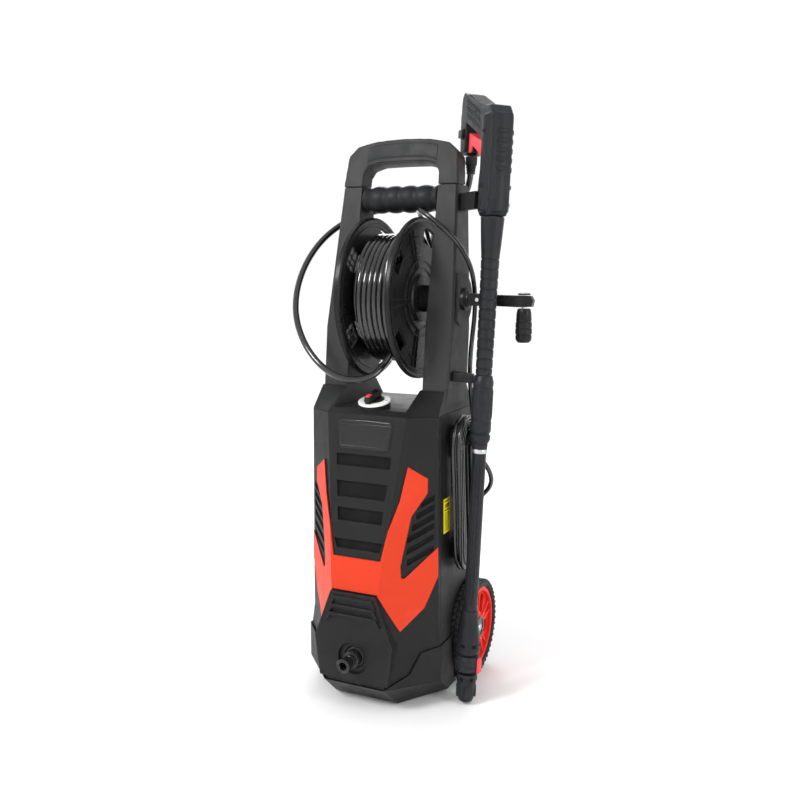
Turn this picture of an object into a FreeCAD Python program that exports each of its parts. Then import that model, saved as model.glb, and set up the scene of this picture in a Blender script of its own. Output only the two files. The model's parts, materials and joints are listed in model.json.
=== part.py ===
import FreeCAD, Part
import math
import os
import Sketcher
from FreeCAD import Placement, Rotation, Vector

# Upright pressure washer. Millimetres, +Z up, front towards -Y, +X to the user's right as they
# face the machine. The origin is on the floor, in the machine's plane of symmetry.

doc = FreeCAD.newDocument("pressure_washer")
sheet = doc.addObject("Spreadsheet::Sheet", "sizes")
X, Y, Z = Vector(1, 0, 0), Vector(0, 1, 0), Vector(0, 0, 1)


# ---------------------------------------------------------------- sizes and helpers

class Size:
    """A number that remembers the spreadsheet expression it comes from."""

    def __init__(self, value, text):
        self.value = value
        self.text = text

    def _join(self, other, sign, value, swap=False):
        text = other.text if isinstance(other, Size) else repr(float(other))
        first, second = (text, self.text) if swap else (self.text, text)
        return Size(value, f"({first} {sign} {second})")

    def __add__(self, other):
        return self._join(other, "+", self.value + float(other))

    def __radd__(self, other):
        return self._join(other, "+", self.value + float(other))

    def __sub__(self, other):
        return self._join(other, "-", self.value - float(other))

    def __rsub__(self, other):
        return self._join(other, "-", float(other) - self.value, True)

    def __mul__(self, other):
        return self._join(other, "*", self.value * float(other))

    def __rmul__(self, other):
        return self._join(other, "*", self.value * float(other))

    def __truediv__(self, other):
        return self._join(other, "/", self.value / float(other))

    def __neg__(self):
        return self * -1

    def __float__(self):
        return float(self.value)


def size(alias, value, note):
    """Put one driving dimension in the sheet and return it."""
    row = size.row = getattr(size, "row", 0) + 1
    sheet.set(f"A{row}", note)
    sheet.set(f"B{row}", str(value))
    sheet.setAlias(f"B{row}", alias)
    return Size(value, f"sizes.{alias}")


gap = size("gap", 0.4, "clearance between separate mouldings")
fit = size("fit", 0.05, "radial running clearance")
wall = size("wall", 3, "casing wall")
face_wall = size("face_wall", 7, "thickened front face of the casing")
body_half = size("body_half", 109, "half width of the casing")
deck_z = size("deck_z", 452, "top of the casing")
seam_y = size("seam_y", -78, "plane where front cover meets rear shell")

wheel_r = size("wheel_r", 80, "wheel radius")
axle_y = size("axle_y", 45, "wheel axle, front to back")
axle_r = size("axle_r", 6, "wheel axle radius")

upright_in = size("upright_in", 65, "inner face of an upright")
handle_z = size("handle_z", 797, "seam between uprights and handle")
handle_y = size("handle_y", 6, "front of the uprights at that seam")
handle_deep = size("handle_deep", 33, "depth of the arch handle")
grip_z = size("grip_z", 777, "grip bar height")
grip_y = size("grip_y", 22, "grip bar, front to back")
grip_r = size("grip_r", 20, "grip sleeve radius")

reel_y = size("reel_y", -2, "reel axis, front to back")
reel_z = size("reel_z", 623, "reel axis height")
reel_r = size("reel_r", 125, "reel flange radius")
reel_half = size("reel_half", 38, "half width between the flanges")
drum_r = size("drum_r", 80, "drum core radius")
coil_r = size("coil_r", 107, "outer radius of the wound hose")
shaft_r = size("shaft_r", 10, "reel axle radius")

hose_d = size("hose_d", 10, "high pressure hose diameter")
lead_d = size("lead_d", 7.5, "power lead diameter")
doc.recompute()

LEAN = 12.0                                   # the handle leans back by this many degrees
LANCE_FOOT = Vector(146, -63, 0)              # the lance's axis meets the floor here
LANCE_TOP = Vector(170, -27, 826)             # and passes here through the gun
LANCE_TURN = Rotation(Z, LANCE_TOP - LANCE_FOOT)
GUN_HEADING = 129.3                           # the gun's handle points back and to the left
nodes = {}


def node(label, thing):
    """Register a finished sub-part under its file name."""
    thing.Label = label
    nodes[label] = thing
    return thing


def bind(thing, prop, value):
    setattr(thing, prop, float(value))
    if isinstance(value, Size):
        thing.setExpression(prop, value.text)


def put(thing, x=0, y=0, z=0, turn=None):
    """Place a thing, keeping each coordinate that is a Size bound to the sheet."""
    thing.Placement = Placement(Vector(float(x), float(y), float(z)), turn or Rotation())
    for letter, value in zip("xyz", (x, y, z)):
        if isinstance(value, Size):
            thing.setExpression(f"Placement.Base.{letter}", value.text)
    return thing


ALONG_X = Rotation(Y, 90)
ALONG_MINUS_Y = Rotation(X, 90)


def on_lance(w, turn=None):
    """Placement at height w up the lance's axis."""
    local = Placement(Vector(0, 0, float(w)), turn or Rotation())
    return Placement(LANCE_FOOT, LANCE_TURN).multiply(local)


def box(label, low, high):
    """Part box between two corners."""
    made = doc.addObject("Part::Box", label)
    for prop, a, b in zip(("Length", "Width", "Height"), low, high):
        bind(made, prop, b - a)
    return put(made, *low)


def rod(label, radius, length, x=0, y=0, z=0, turn=None):
    made = doc.addObject("Part::Cylinder", label)
    bind(made, "Radius", radius)
    bind(made, "Height", length)
    return put(made, x, y, z, turn)


def fuse(label, *things):
    made = doc.addObject("Part::MultiFuse", label)
    made.Shapes = list(things)
    return made


def common(label, *things):
    made = doc.addObject("Part::MultiCommon", label)
    made.Shapes = list(things)
    return made


def cut(label, base, *tools):
    made = doc.addObject("Part::Cut", label)
    made.Base = base
    made.Tool = tools[0] if len(tools) == 1 else fuse(label + "_tools", *tools)
    return made


def outline(body, role, points, name):
    """Closed polygon sketch on one of the body's origin planes, every vertex dimensioned."""
    sketch = body.newObject("Sketcher::SketchObject", name)
    plane = next(f for f in body.Origin.OriginFeatures if f.Role == role)
    sketch.AttachmentSupport = [(plane, "")]
    sketch.MapMode = "FlatFace"
    corners = [Vector(float(a), float(b), 0) for a, b in points]
    count = len(corners)
    for i in range(count):
        sketch.addGeometry(Part.LineSegment(corners[i], corners[(i + 1) % count]), False)
    for i in range(count):
        sketch.addConstraint(Sketcher.Constraint("Coincident", i, 2, (i + 1) % count, 1))
    for i, point in enumerate(points):
        for kind, value in zip(("DistanceX", "DistanceY"), point):
            k = sketch.addConstraint(Sketcher.Constraint(kind, -1, 1, i, 1, float(value)))
            if isinstance(value, Size):
                sketch.setExpression(f"Constraints[{k}]", value.text)
    return sketch


def prism(label, role, points, depth, both=False):
    """Pad a polygon. XZ_Plane pads towards -Y, YZ_Plane towards +X, XY_Plane towards +Z."""
    body = doc.addObject("PartDesign::Body", label)
    pad = body.newObject("PartDesign::Pad", label + "_pad")
    pad.Profile = outline(body, role, points, label + "_profile")
    if both:
        pad.SideType = "Symmetric"
    bind(pad, "Length", depth)
    body.Tip = pad
    return body


def turned(label, points):
    """Revolve a polygon of (radius, height) round the body's Z axis."""
    body = doc.addObject("PartDesign::Body", label)
    sketch = outline(body, "XZ_Plane", points, label + "_profile")
    turn = body.newObject("PartDesign::Revolution", label + "_turn")
    turn.Profile = sketch
    turn.ReferenceAxis = (sketch, ["V_Axis"])
    turn.Angle = 360
    body.Tip = turn
    return body


def ring(label, inner, outer, low, high):
    return turned(label, [(inner, low), (outer, low), (outer, high), (inner, high)])


def lofted(label, sections):
    """Ruled loft through polygons: a list of (height, points)."""
    body = doc.addObject("PartDesign::Body", label)
    sketches = []
    for i, (height, points) in enumerate(sections):
        sketch = outline(body, "XY_Plane", points, f"{label}_section_{i}")
        sketch.AttachmentOffset = Placement(Vector(0, 0, float(height)), Rotation())
        if isinstance(height, Size):
            sketch.setExpression("AttachmentOffset.Base.z", height.text)
        sketches.append(sketch)
    loft = body.newObject("PartDesign::AdditiveLoft", label + "_loft")
    loft.Profile = sketches[0]
    loft.Sections = sketches[1:]
    loft.Ruled = True
    body.Tip = loft
    return body


def both_sides(half):
    """Close a front-view outline given for x >= 0 from the top middle to the bottom middle."""
    return list(half) + [(-x, z) for x, z in reversed(half) if float(x) != 0]


def spun(label, base, count, tool_of):
    """Cut the same tool from a base at equal steps round the base's Z axis."""
    return cut(label, base, *[tool_of(i, 360.0 * i / count) for i in range(count)])


# ---------------------------------------------------------------- casing

# Each level of the casing: height, half width and depth of the flat front panel, half width
# and depth of the wing's outer corner, and depth of the back.
LEVELS = [
    (3, 53, -112, 103, -35, 96),
    (41, 50, -155, body_half + 4, -88, 100),
    (96, 50, -155, body_half + 4, -88, 98),
    (130, 50, -153.5, body_half, -86, 96),
    (188, 38, -151, body_half, -86, 92),
    (deck_z, 66, -111, body_half - 2, -85, 76),
]
BACK_CHAMFER = 22


def back_face(height):
    """Depth of the casing's leaning back at a height."""
    for low, high in zip(LEVELS, LEVELS[1:]):
        if height <= float(high[0]):
            share = (height - low[0]) / (float(high[0]) - low[0])
            return low[5] + (high[5] - low[5]) * share
    return LEVELS[-1][5]


def casing_loft(label, grow, front_grow=None, floor=None, top=None):
    """The casing's outer form, moved out by grow all round (front_grow on its front faces)."""
    front = grow if front_grow is None else front_grow
    sections = []
    for i, (z, xp, yp, xw, yw, yb) in enumerate(LEVELS):
        if floor is not None and i == 0:
            z = floor
        if top is not None and i == len(LEVELS) - 1:
            z = top
        right = [(xp + front * 0.4, yp - front), (xw + grow, yw - front * 0.5),
                 (xw + grow, yb - BACK_CHAMFER), (xw - BACK_CHAMFER + grow * 0.4, yb + grow)]
        sections.append((z, right + [(-x, y) for x, y in reversed(right)]))
    return lofted(label, sections)


def front_prism(label, half, y_far, y_near):
    """Prism along Y with a front-view outline symmetric about the middle."""
    return put(prism(label, "XZ_Plane", both_sides(half), y_far - y_near), 0, y_far, 0)


def side_prisms(label, points, y_far, y_near):
    """The same front-view outline on the right and mirrored on the left."""
    made = []
    for side in (1, -1):
        mirrored = [(side * x, z) for x, z in points]
        made.append(put(prism(f"{label}_{side + 1}", "XZ_Plane", mirrored, y_far - y_near),
                        0, y_far, 0))
    return made


FRONT_Y, BACK_Y = -175, 125
casing = casing_loft("casing_outer", 0)
hollow = casing_loft("casing_hollow", -wall, -face_wall, floor=9, top=460)
skin_in = casing_loft("casing_recess_depth", 0, -4, floor=2, top=461)
skin_out = casing_loft("casing_trim_skin", 0.1, 2.6, floor=2.5, top=deck_z + 0.2)
plate_out = casing_loft("casing_plate_skin", 0.05, 1.5, floor=2.6, top=deck_z + 0.1)
bumper_out = casing_loft("casing_bumper_skin", 2.5, 3, floor=3)

arches, arch_cores = [], []
for side in (1, -1):
    start = 101 if side > 0 else -140
    arches.append(rod(f"arch_{side + 1}", wheel_r + 9, 39, start, axle_y, wheel_r, ALONG_X))
    start = 98 if side > 0 else -140
    arch_cores.append(rod(f"arch_core_{side + 1}", wheel_r + 12, 42, start, axle_y, wheel_r,
                          ALONG_X))
cavity = cut("cavity", hollow, *arch_cores)

BUMPER_EDGE = [(0, 41), (50, 41), (80, 60), (93, 92), (130, 101)]
low_zone = front_prism("low_zone", BUMPER_EDGE + [(130, -5), (0, -5)], BACK_Y, FRONT_Y)
lift = float(gap)
high_zone = front_prism("high_zone", [(0, 470), (130, 470)]
                        + [(x, z + lift) for x, z in reversed(BUMPER_EDGE)], BACK_Y, FRONT_Y)
high_zone_back = cut("high_zone_back", high_zone,
                     box("front_slice", (-140, FRONT_Y - 5, -10), (140, seam_y, 480)))
high_zone_front = cut("high_zone_front", high_zone,
                      box("back_slice", (-140, seam_y - gap, -10), (140, BACK_Y + 5, 480)))

axle_bore = rod("axle_bore", axle_r + fit, 230, -115, axle_y, wheel_r, ALONG_X)
tray = common("tray_form", bumper_out, low_zone)
node("base_tray", cut("base_tray", tray, cavity, *arches, axle_bore))


def slot_half(top, bottom, wide, narrow):
    """One recessed band on the front panel."""
    return [(0, top), (wide, top), (narrow, bottom), (0, bottom)]


BANDS = [slot_half(392, 374, 46, 45), slot_half(351, 327, 43, 40), slot_half(311, 291, 39, 37),
         slot_half(264, 250, 41, 36)]
bands = [front_prism(f"band_{i}", half, FRONT_Y + 90, FRONT_Y) for i, half in enumerate(BANDS)]

LOUVRES, LOUVRE_RISE, LOUVRE_TALL = 6, 20, 9
louvres = []
for i in range(LOUVRES):
    z = 236 + i * 17.5
    inner = 71 + max(0, i - 2) * 5.0
    outer = 103
    rise = LOUVRE_RISE * (outer - inner) / 32.0
    points = [(inner, z - 8), (outer, z - 8 + rise), (outer, z - 8 + rise + LOUVRE_TALL),
              (inner, z - 8 + LOUVRE_TALL)]
    louvres += side_prisms(f"louvre_{i}", points, FRONT_Y + 90, FRONT_Y)
recesses = cut("front_recesses", fuse("front_slots", *bands, *louvres), skin_in)
inlet_bore = rod("inlet_bore", 17, 60, 0, -105, 85, ALONG_MINUS_Y)
front_form = common("front_form", casing, high_zone_front)
node("front_cover", cut("front_cover", front_form, hollow, recesses, inlet_bore))

back_form = common("back_form", casing, high_zone_back)
node("rear_shell", cut("rear_shell", back_form, cavity, *arches))

# The red trim is a thin moulding that follows the front's facets: a band with two arms.
TRIM = [(0, 238), (40, 238), (49, 283), (62.5, 329), (71, 379), (95, 360), (95, 338), (76, 304),
        (64, 229), (65, 211), (69, 209), (111, 256), (111, 214), (93, 160), (68, 130),
        (38, 188.5), (0, 188.5)]
trim_zone = front_prism("trim_zone", TRIM, -86.5, FRONT_Y)
node("red_trim", cut("red_trim", common("trim_form", skin_out, trim_zone), casing))

PLATE = [(0, 444), (41, 443), (46, 438), (41.5, 404), (37, 400), (0, 400)]
plate_zone = front_prism("plate_zone", PLATE, -96, FRONT_Y)
node("nameplate", cut("nameplate", common("plate_form", plate_out, plate_zone), casing))

HEX = [(0, 186.5), (38, 186.5), (66, 111), (58, 49), (0, 49)]
hex_zone = front_prism("hex_zone", HEX, -112, -160)
ribs = []
for i in range(3):
    top = 181 - 13 * i
    half = [(0, top), (33 + 3 * i, top), (40 + 4 * i, top - 14), (35 + 4 * i, top - 14),
            (29 + 3 * i, top - 5), (0, top - 5)]
    ribs.append(front_prism(f"outlet_rib_{i}", half, -159.5, -163 - i))
pod = fuse("pod_form", hex_zone, *ribs)
node("outlet_plate", cut("outlet_plate", pod, casing, skin_out,
                         rod("plate_recess", 25, 12, 0, -154, 85, ALONG_MINUS_Y),
                         rod("plate_bore", 17, 60, 0, -105, 85, ALONG_MINUS_Y)))

inlet = turned("water_inlet", [(6, 0), (16, 0), (16, 22), (13, 24), (13, 36), (9.5, 38), (9.5, 50),
                               (11, 52), (11, 60), (6, 60)])
node("water_inlet", put(inlet, 0, -132, 85, ALONG_MINUS_Y))

foot_pads = [rod(f"foot_{i}", 11, 3, x, y, 0)
             for i, (x, y) in enumerate(((-62, -75), (62, -75), (-62, 70), (62, 70), (0, 0)))]
node("rubber_feet", fuse("rubber_feet", *foot_pads))


# ---------------------------------------------------------------- deck, uprights and handle

DECK_TOP = 486


def upright_sections(side, grow=0.0):
    """Rectangles with a bevelled outer front edge: height, inner x, outer x, front, back."""
    levels = [(462, upright_in + 1, 106, -55, 30), (577, upright_in - 1, 109.5, -37, 32),
              (handle_z - gap, upright_in + 0.5, 98, handle_y, 50)]
    made = []
    for z, xi, xo, yf, yb in levels:
        points = [(xi - grow, yf - grow), (xo - 3, yf - grow), (xo + grow, yf + 3),
                  (xo + grow, yb + grow), (xi - grow, yb + grow)]
        made.append((z, [(side * x, y) for x, y in points]))
    return made


deck_right = [(66, -111), (body_half - 2, -85), (body_half - 2, 54), (body_half - 24, 76)]
deck_high = [(64, -57), (105, -57), (105, 36), (86, 52)]
deck_form = lofted("deck_form", [
    (deck_z + gap, deck_right + [(-x, y) for x, y in reversed(deck_right)]),
    (DECK_TOP, deck_high + [(-x, y) for x, y in reversed(deck_high)])])
deck_well = front_prism("deck_well", [(0, 500), (66, 500), (61, 459), (0, 459)], 90, -130)
deck_under = lofted("deck_under", [
    (440, [(-58, -92), (58, -92), (58, 50), (-58, 50)]),
    (456, [(-56, -88), (56, -88), (56, 46), (-56, 46)])])
feet = [lofted(f"upright_foot_{side + 1}", upright_sections(side, 0.3)) for side in (1, -1)]
dial_y, DIAL_FLOOR = -81, 459
DIAL_TILT = Rotation(X, 12)
dial_base = put(ring("dial_base", 8, 24, -1, 9), 0, dial_y, DIAL_FLOOR, DIAL_TILT)
dial_seat = put(ring("dial_seat", 9, 23, -1, 3), 0, dial_y, DIAL_FLOOR)
bore_foot = Vector(0, dial_y, DIAL_FLOOR) + DIAL_TILT.multVec(Vector(0, 0, -20))
dial_bore = rod("dial_bore", 8, 60, *bore_foot, DIAL_TILT)
deck = cut("deck_body", deck_form, deck_well, deck_under, *feet)
node("top_deck", cut("top_deck", fuse("deck_and_dial", deck, dial_base, dial_seat), dial_bore))

bushes = []
for side, name in ((1, "right"), (-1, "left")):
    post = lofted(f"post_{name}", upright_sections(side))
    boss_out = 112 if side > 0 else 105
    boss_room = lofted(f"boss_room_{name}", [
        (z, [(side * 84, front), (side * boss_out, front + 8), (side * boss_out, 60), (side * 84, 60)])
        for z, front in ((577, -35), (handle_z, 8))])
    boss = common(f"boss_{name}", boss_room,
                  rod(f"boss_{name}_form", 40, 40, 80 if side > 0 else -120, reel_y, reel_z, ALONG_X))
    bore_x = 60 if side > 0 else -115
    bore = rod(f"bore_{name}", 15, 55, bore_x, reel_y, reel_z, ALONG_X)
    node(f"upright_{name}", cut(f"upright_{name}", fuse(f"post_boss_{name}", post, boss), bore))
    bush = turned(f"reel_bearing_{name}", [(shaft_r + fit, 46), (21, 46), (21, 63.6), (15 - fit, 63.6),
                                           (15 - fit, 111), (shaft_r + fit, 111)])
    bushes.append(put(bush, 0, reel_y, reel_z, Rotation(Y, 90 * side)))
node("reel_bearings", fuse("reel_bearings", *bushes))

HANDLE = [(0, 75), (45, 73), (78, 66), (94, 50), (98.6, 0), (65.2, 0), (64, 22), (57, 33),
          (40, 38), (0, 39)]
arch = prism("arch_form", "XZ_Plane", both_sides(HANDLE), handle_deep)
lean = Rotation(X, -LEAN)
shift = lean.multVec(Vector(0, float(handle_deep), 0))
arch.Placement = Placement(Vector(0, float(handle_y), float(handle_z)) + shift, lean)
node("top_handle", cut("top_handle", arch, box("arch_seam", (-120, -20, handle_z - 40),
                                               (120, 80, handle_z))))

node("grip_core", rod("grip_core", 13, upright_in * 2 - 0.4, -upright_in + 0.2, grip_y, grip_z,
                      ALONG_X))
FINGERS, FINGER_LONG = 4, 26.0
sleeve = [(13 + float(fit), -FINGERS * FINGER_LONG / 2)]
for i in range(FINGERS):
    start = -FINGERS * FINGER_LONG / 2 + i * FINGER_LONG
    sleeve += [(grip_r - 2.4, start), (grip_r - 0.4, start + 5), (grip_r, start + FINGER_LONG / 2),
               (grip_r - 0.4, start + FINGER_LONG - 5)]
sleeve += [(grip_r - 2.4, FINGERS * FINGER_LONG / 2), (13 + float(fit), FINGERS * FINGER_LONG / 2)]
node("grip_sleeve", put(turned("grip_sleeve", sleeve), 0, grip_y, grip_z, ALONG_X))


# ---------------------------------------------------------------- switch on the deck

dial = turned("dial_ring", [(16, 9.2), (25, 9.2), (25, 12), (23.5, 13.2), (16, 13.2)])
node("dial_ring", put(dial, 0, dial_y, DIAL_FLOOR, DIAL_TILT))
stem = ring("switch_stem", 0, 7.9, -14, 9.4)
disc = ring("switch_disc", 0, 15.5, 9.4, 14)
bar = put(prism("switch_bar", "XY_Plane", [(-4, -23), (4, -23), (5, 15), (-5, 15)], 11), 0, 0, 13.6)
node("switch_knob", put(fuse("switch_knob", stem, disc, bar), 0, dial_y, DIAL_FLOOR, DIAL_TILT))


# ---------------------------------------------------------------- hose reel and crank

def reel_place(thing):
    return put(thing, 0, reel_y, reel_z, ALONG_X)


node("reel_axle", put(rod("reel_axle", shaft_r, 226, -108, reel_y, reel_z, ALONG_X),
                      -108, reel_y, reel_z, ALONG_X))
drum_end = reel_half - 0.3
node("drum_core", reel_place(turned("drum_core", [
    (shaft_r + fit, -drum_end), (drum_r, -drum_end), (drum_r, drum_end), (shaft_r + fit, drum_end),
    (shaft_r + fit, drum_end - 4), (drum_r - 4, drum_end - 4), (drum_r - 4, 4 - drum_end),
    (shaft_r + fit, 4 - drum_end)])))


def window(i, angle, label):
    """Rounded window between the spokes of a flange, as a short block at an angle."""
    block = doc.addObject("Part::Box", f"{label}_window_{i}")
    block.Length, block.Width, block.Height = 26, 34, 40
    turn = Rotation(Z, angle + 20)
    block.Placement = Placement(turn.multVec(Vector(86, -17, 20)), turn)
    return block


for side, name in ((1, "right"), (-1, "left")):
    rim = turned(f"flange_{name}_disc", [
        (shaft_r + fit, 38), (reel_r - 8, 38), (reel_r - 3, 36.6), (reel_r, 38.5), (reel_r, 45),
        (reel_r - 3, 45.6), (reel_r - 6, 42), (40, 42), (36, 45.2), (shaft_r + fit, 45.2)])
    cutter = spun(f"flange_{name}_cut", rim, 5, lambda i, a, n=name: window(i, a, f"flange_{n}"))
    node(f"flange_{name}", put(cutter, 0, reel_y, reel_z, Rotation(Y, 90 * side)))

node("hose_coil", reel_place(ring("hose_coil", drum_r + 0.4, coil_r, -reel_half + 2,
                                  reel_half - 2)))

HINGE_X = 138
hub = turned("crank_hub_form", [(shaft_r + fit, 112.6), (17, 112.6), (17, 118.2), (13, 121),
                                (13, 123), (0, 123), (0, 118.2), (shaft_r + fit, 118.2)])
hub_body = put(hub, 0, reel_y, reel_z, ALONG_X)
lugs = [box(f"hinge_lug_{s + 1}", (118, reel_y + s * 8.5 - 2.5, reel_z - 9),
            (146, reel_y + s * 8.5 + 2.5, reel_z + 9)) for s in (1, -1)]
pin_bore = rod("pin_bore", 3 + fit, 40, HINGE_X, reel_y + 20, reel_z, ALONG_MINUS_Y)
node("crank_hub", cut("crank_hub", fuse("hub_and_lugs", hub_body, *lugs), pin_bore))
ARM = [(HINGE_X - 7, -6), (HINGE_X - 4, -8), (200, -10), (222, -9), (224, 0), (220, 7),
       (HINGE_X, 8), (HINGE_X - 7, 5)]
arm_plate = put(prism("crank_arm_plate", "XZ_Plane", ARM, 11), 0, reel_y + 5.5, reel_z)
KNOB_X = 209
arm_bore = rod("arm_bore", 3, 40, HINGE_X, reel_y + 20, reel_z, ALONG_MINUS_Y)
node("crank_arm", cut("crank_arm", arm_plate, arm_bore,
                      rod("spindle_bore", 4, 40, KNOB_X, reel_y, reel_z - 20)))
node("crank_pins", fuse("crank_pins",
                        rod("hinge_pin", 3, 23, HINGE_X, reel_y + 11.5, reel_z, ALONG_MINUS_Y),
                        rod("knob_spindle", 4, 66, KNOB_X, reel_y, reel_z - 62)))
knob = turned("crank_knob", [(4 + fit, 0), (9, 0), (12, 4), (12.5, 20), (11, 44), (9, 50.5),
                             (4 + fit, 50.5)])
node("crank_knob", put(knob, KNOB_X, reel_y, reel_z - 62.5))


# ---------------------------------------------------------------- wheels

for side, name in ((1, "right"), (-1, "left")):
    face = Rotation(Y, 90 * side)
    tyre = turned(f"tyre_{name}", [(67, 106), (68, 104), (76, 104), (wheel_r, 109), (wheel_r, 125),
                                   (76, 130), (68, 130), (67, 128)])
    node(f"tyre_{name}", put(tyre, 0, axle_y, wheel_r, face))
    disc = turned(f"wheel_{name}_disc", [(axle_r + fit, 105), (18, 105), (18, 112), (60, 112),
                                         (60, 107), (66.8, 107), (66.8, 127), (60, 127), (60, 121),
                                         (20, 124), (20, 128), (axle_r + fit, 128)])

    def spoke_gap(i, angle, label=name):
        block = doc.addObject("Part::Box", f"spoke_gap_{label}_{i}")
        block.Length, block.Width, block.Height = 30, 20, 60
        turn = Rotation(Z, angle)
        block.Placement = Placement(turn.multVec(Vector(26, -10, 90)), turn)
        return block

    spokes = spun(f"wheel_{name}_cut", disc, 5, spoke_gap)
    node(f"wheel_{name}", put(spokes, 0, axle_y, wheel_r, face))
node("wheel_axle", rod("wheel_axle", axle_r, 255, -127.5, axle_y, wheel_r, ALONG_X))


# ---------------------------------------------------------------- spray gun and lance

def up_lance(thing, w=0, turn=None):
    """Carry a thing built round the Z axis to the lance's axis, w above its foot."""
    thing.Placement = on_lance(w, turn).multiply(thing.Placement)
    return thing


gun_turn = Rotation(Z, GUN_HEADING)
GUN = [(-22, 770), (-18, 752), (-14, 746), (14, 746), (24, 754), (30, 775), (28, 800), (22, 822),
       (22, 852), (28, 862), (100, 893), (102, 850), (124, 846), (128, 900), (124, 934),
       (116, 941), (30, 905), (14, 906), (-8, 903), (-22, 888)]
GUN_HALF, GUN_BODY_R, SEAM = 16.0, 22.5, 0.15
for s, name in ((1, "left"), (-1, "right")):
    half = prism(f"gun_half_{name}", "XZ_Plane", GUN, GUN_HALF - SEAM)
    half = put(half, 0, GUN_HALF if s > 0 else -SEAM, 0)
    barrel = rod(f"gun_barrel_{name}", GUN_BODY_R, 138, 0, 0, 752)
    side_low, side_high = (SEAM, 40) if s > 0 else (-40, -SEAM)
    barrel_half = common(f"gun_barrel_half_{name}", barrel,
                         box(f"gun_side_{name}", (-40, side_low, 740), (40, side_high, 900)))
    gun_shell = cut(f"gun_shell_{name}", fuse(f"gun_form_{name}", half, barrel_half),
                    rod(f"gun_bore_{name}", 11, 130, 0, 0, 740),
                    box(f"trigger_slot_{name}", (18, -11, 826), (34, 11, 870)),
                    box(f"lock_pocket_{name}", (103.5, 7.5, 871.5), (122.5, 20, 884.5)),
                    rod(f"tail_bore_{name}", 8, 24, 113, 0, 840))
    node(f"gun_shell_{name}", up_lance(gun_shell, 0, gun_turn))

valve = turned("gun_valve", [(0, 748), (10.8, 748), (10.8, 835), (6, 840), (6, 865), (0, 865)])
node("gun_valve", up_lance(valve))
TRIGGER = [(23, 846), (29, 855), (98, 878), (98, 848), (88, 848), (84, 858), (60, 847), (36, 832),
           (25, 830)]
lever = put(prism("trigger_form", "XZ_Plane", TRIGGER, 21, both=True), 0, 0, 0)
lever_hollow = put(prism("trigger_hollow", "XZ_Plane",
                         [(20, 820), (22, 838), (33, 850), (96, 871), (110, 874), (110, 820)], 15,
                         both=True), 0, 0, 0)
trigger_pivot = rod("trigger_pivot", 2, 21, 26.5, 10.5, 848, ALONG_MINUS_Y)
lever_cut = fuse("trigger", cut("trigger_lever", lever, lever_hollow), trigger_pivot)
node("trigger", up_lance(lever_cut, 0, gun_turn))
lock = box("safety_lock", (104, 11, 872), (122, 21, 884))
node("safety_lock", up_lance(lock, 0, gun_turn))
tail_fit = turned("gun_inlet", [(0, 834), (9, 834), (9, 844.6), (7.9, 844.6), (7.9, 862), (0, 862)])
tail_fit = put(tail_fit, 113, 0, 0)
node("gun_inlet", up_lance(tail_fit, 0, gun_turn))

grip_tube = turned("lance_grip", [(0, 514), (12, 514), (12.4, 520), (13.2, 660), (15, 700),
                                  (17.5, 745.6), (0, 745.6)])
node("lance_grip", up_lance(grip_tube))
coupler = turned("lance_coupler", [(0, 412), (13, 412), (15, 418), (15, 424), (13.5, 426),
                                   (15.5, 430), (15.5, 505), (13, 513.6), (0, 513.6)])
node("lance_coupler", up_lance(coupler))
NECK = 150
node("lance_tube", up_lance(turned("lance_tube", [(0, NECK + 0.4), (10.5, NECK + 0.4), (10.5, 395),
                                                  (12, 411.6), (0, 411.6)])))
head = turned("nozzle_body", [(0, 50), (9, 50), (9, 80), (15, 80), (18, 86), (18, 92), (11.5, NECK),
                              (0, NECK)])
node("nozzle_body", up_lance(head))
collar = turned("nozzle_collar", [(9 + fit, 52), (18.5, 56), (19, 62), (19, 74), (17, 79.6),
                                  (9 + fit, 79.6)])
node("nozzle_collar", up_lance(collar))
tip = turned("nozzle_tip", [(0, 5), (10.5, 5), (12, 9), (15.5, 44), (15.5, 49.6), (0, 49.6)])
node("nozzle_tip", up_lance(tip))

hook_arm = lofted("hook_form", [
    (757, [(97, 12), (97, 34), (133, -6), (143, -22), (136, -28)]),
    (783, [(98.5, 14), (98.5, 38), (135, -4), (144, -18), (138, -26)])])
clip_arm = lofted("clip_form", [
    (500, [(105, -36), (105, -16), (144, -34), (146, -44)]),
    (514, [(105, -36), (105, -16), (144, -34), (146, -44)])])
holders = []
for label, arm in (("gun_hook", hook_arm), ("lance_clip", clip_arm)):
    shave = [lofted(f"{label}_post", upright_sections(1, 0.3)),
             up_lance(rod(f"{label}_lance_room", 16 if label == "lance_clip" else 20, 900))]
    gun_form = prism(f"{label}_gun_form", "XZ_Plane", GUN, GUN_HALF * 2 + 1, both=True)
    shave += [up_lance(gun_form, 0, gun_turn),
              up_lance(rod(f"{label}_barrel_room", GUN_BODY_R + 0.5, 150, 0, 0, 746))]
    holders.append(cut(label, arm, *shave))
node("lance_holders", fuse("lance_holders", *holders))


# ---------------------------------------------------------------- side fittings

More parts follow.
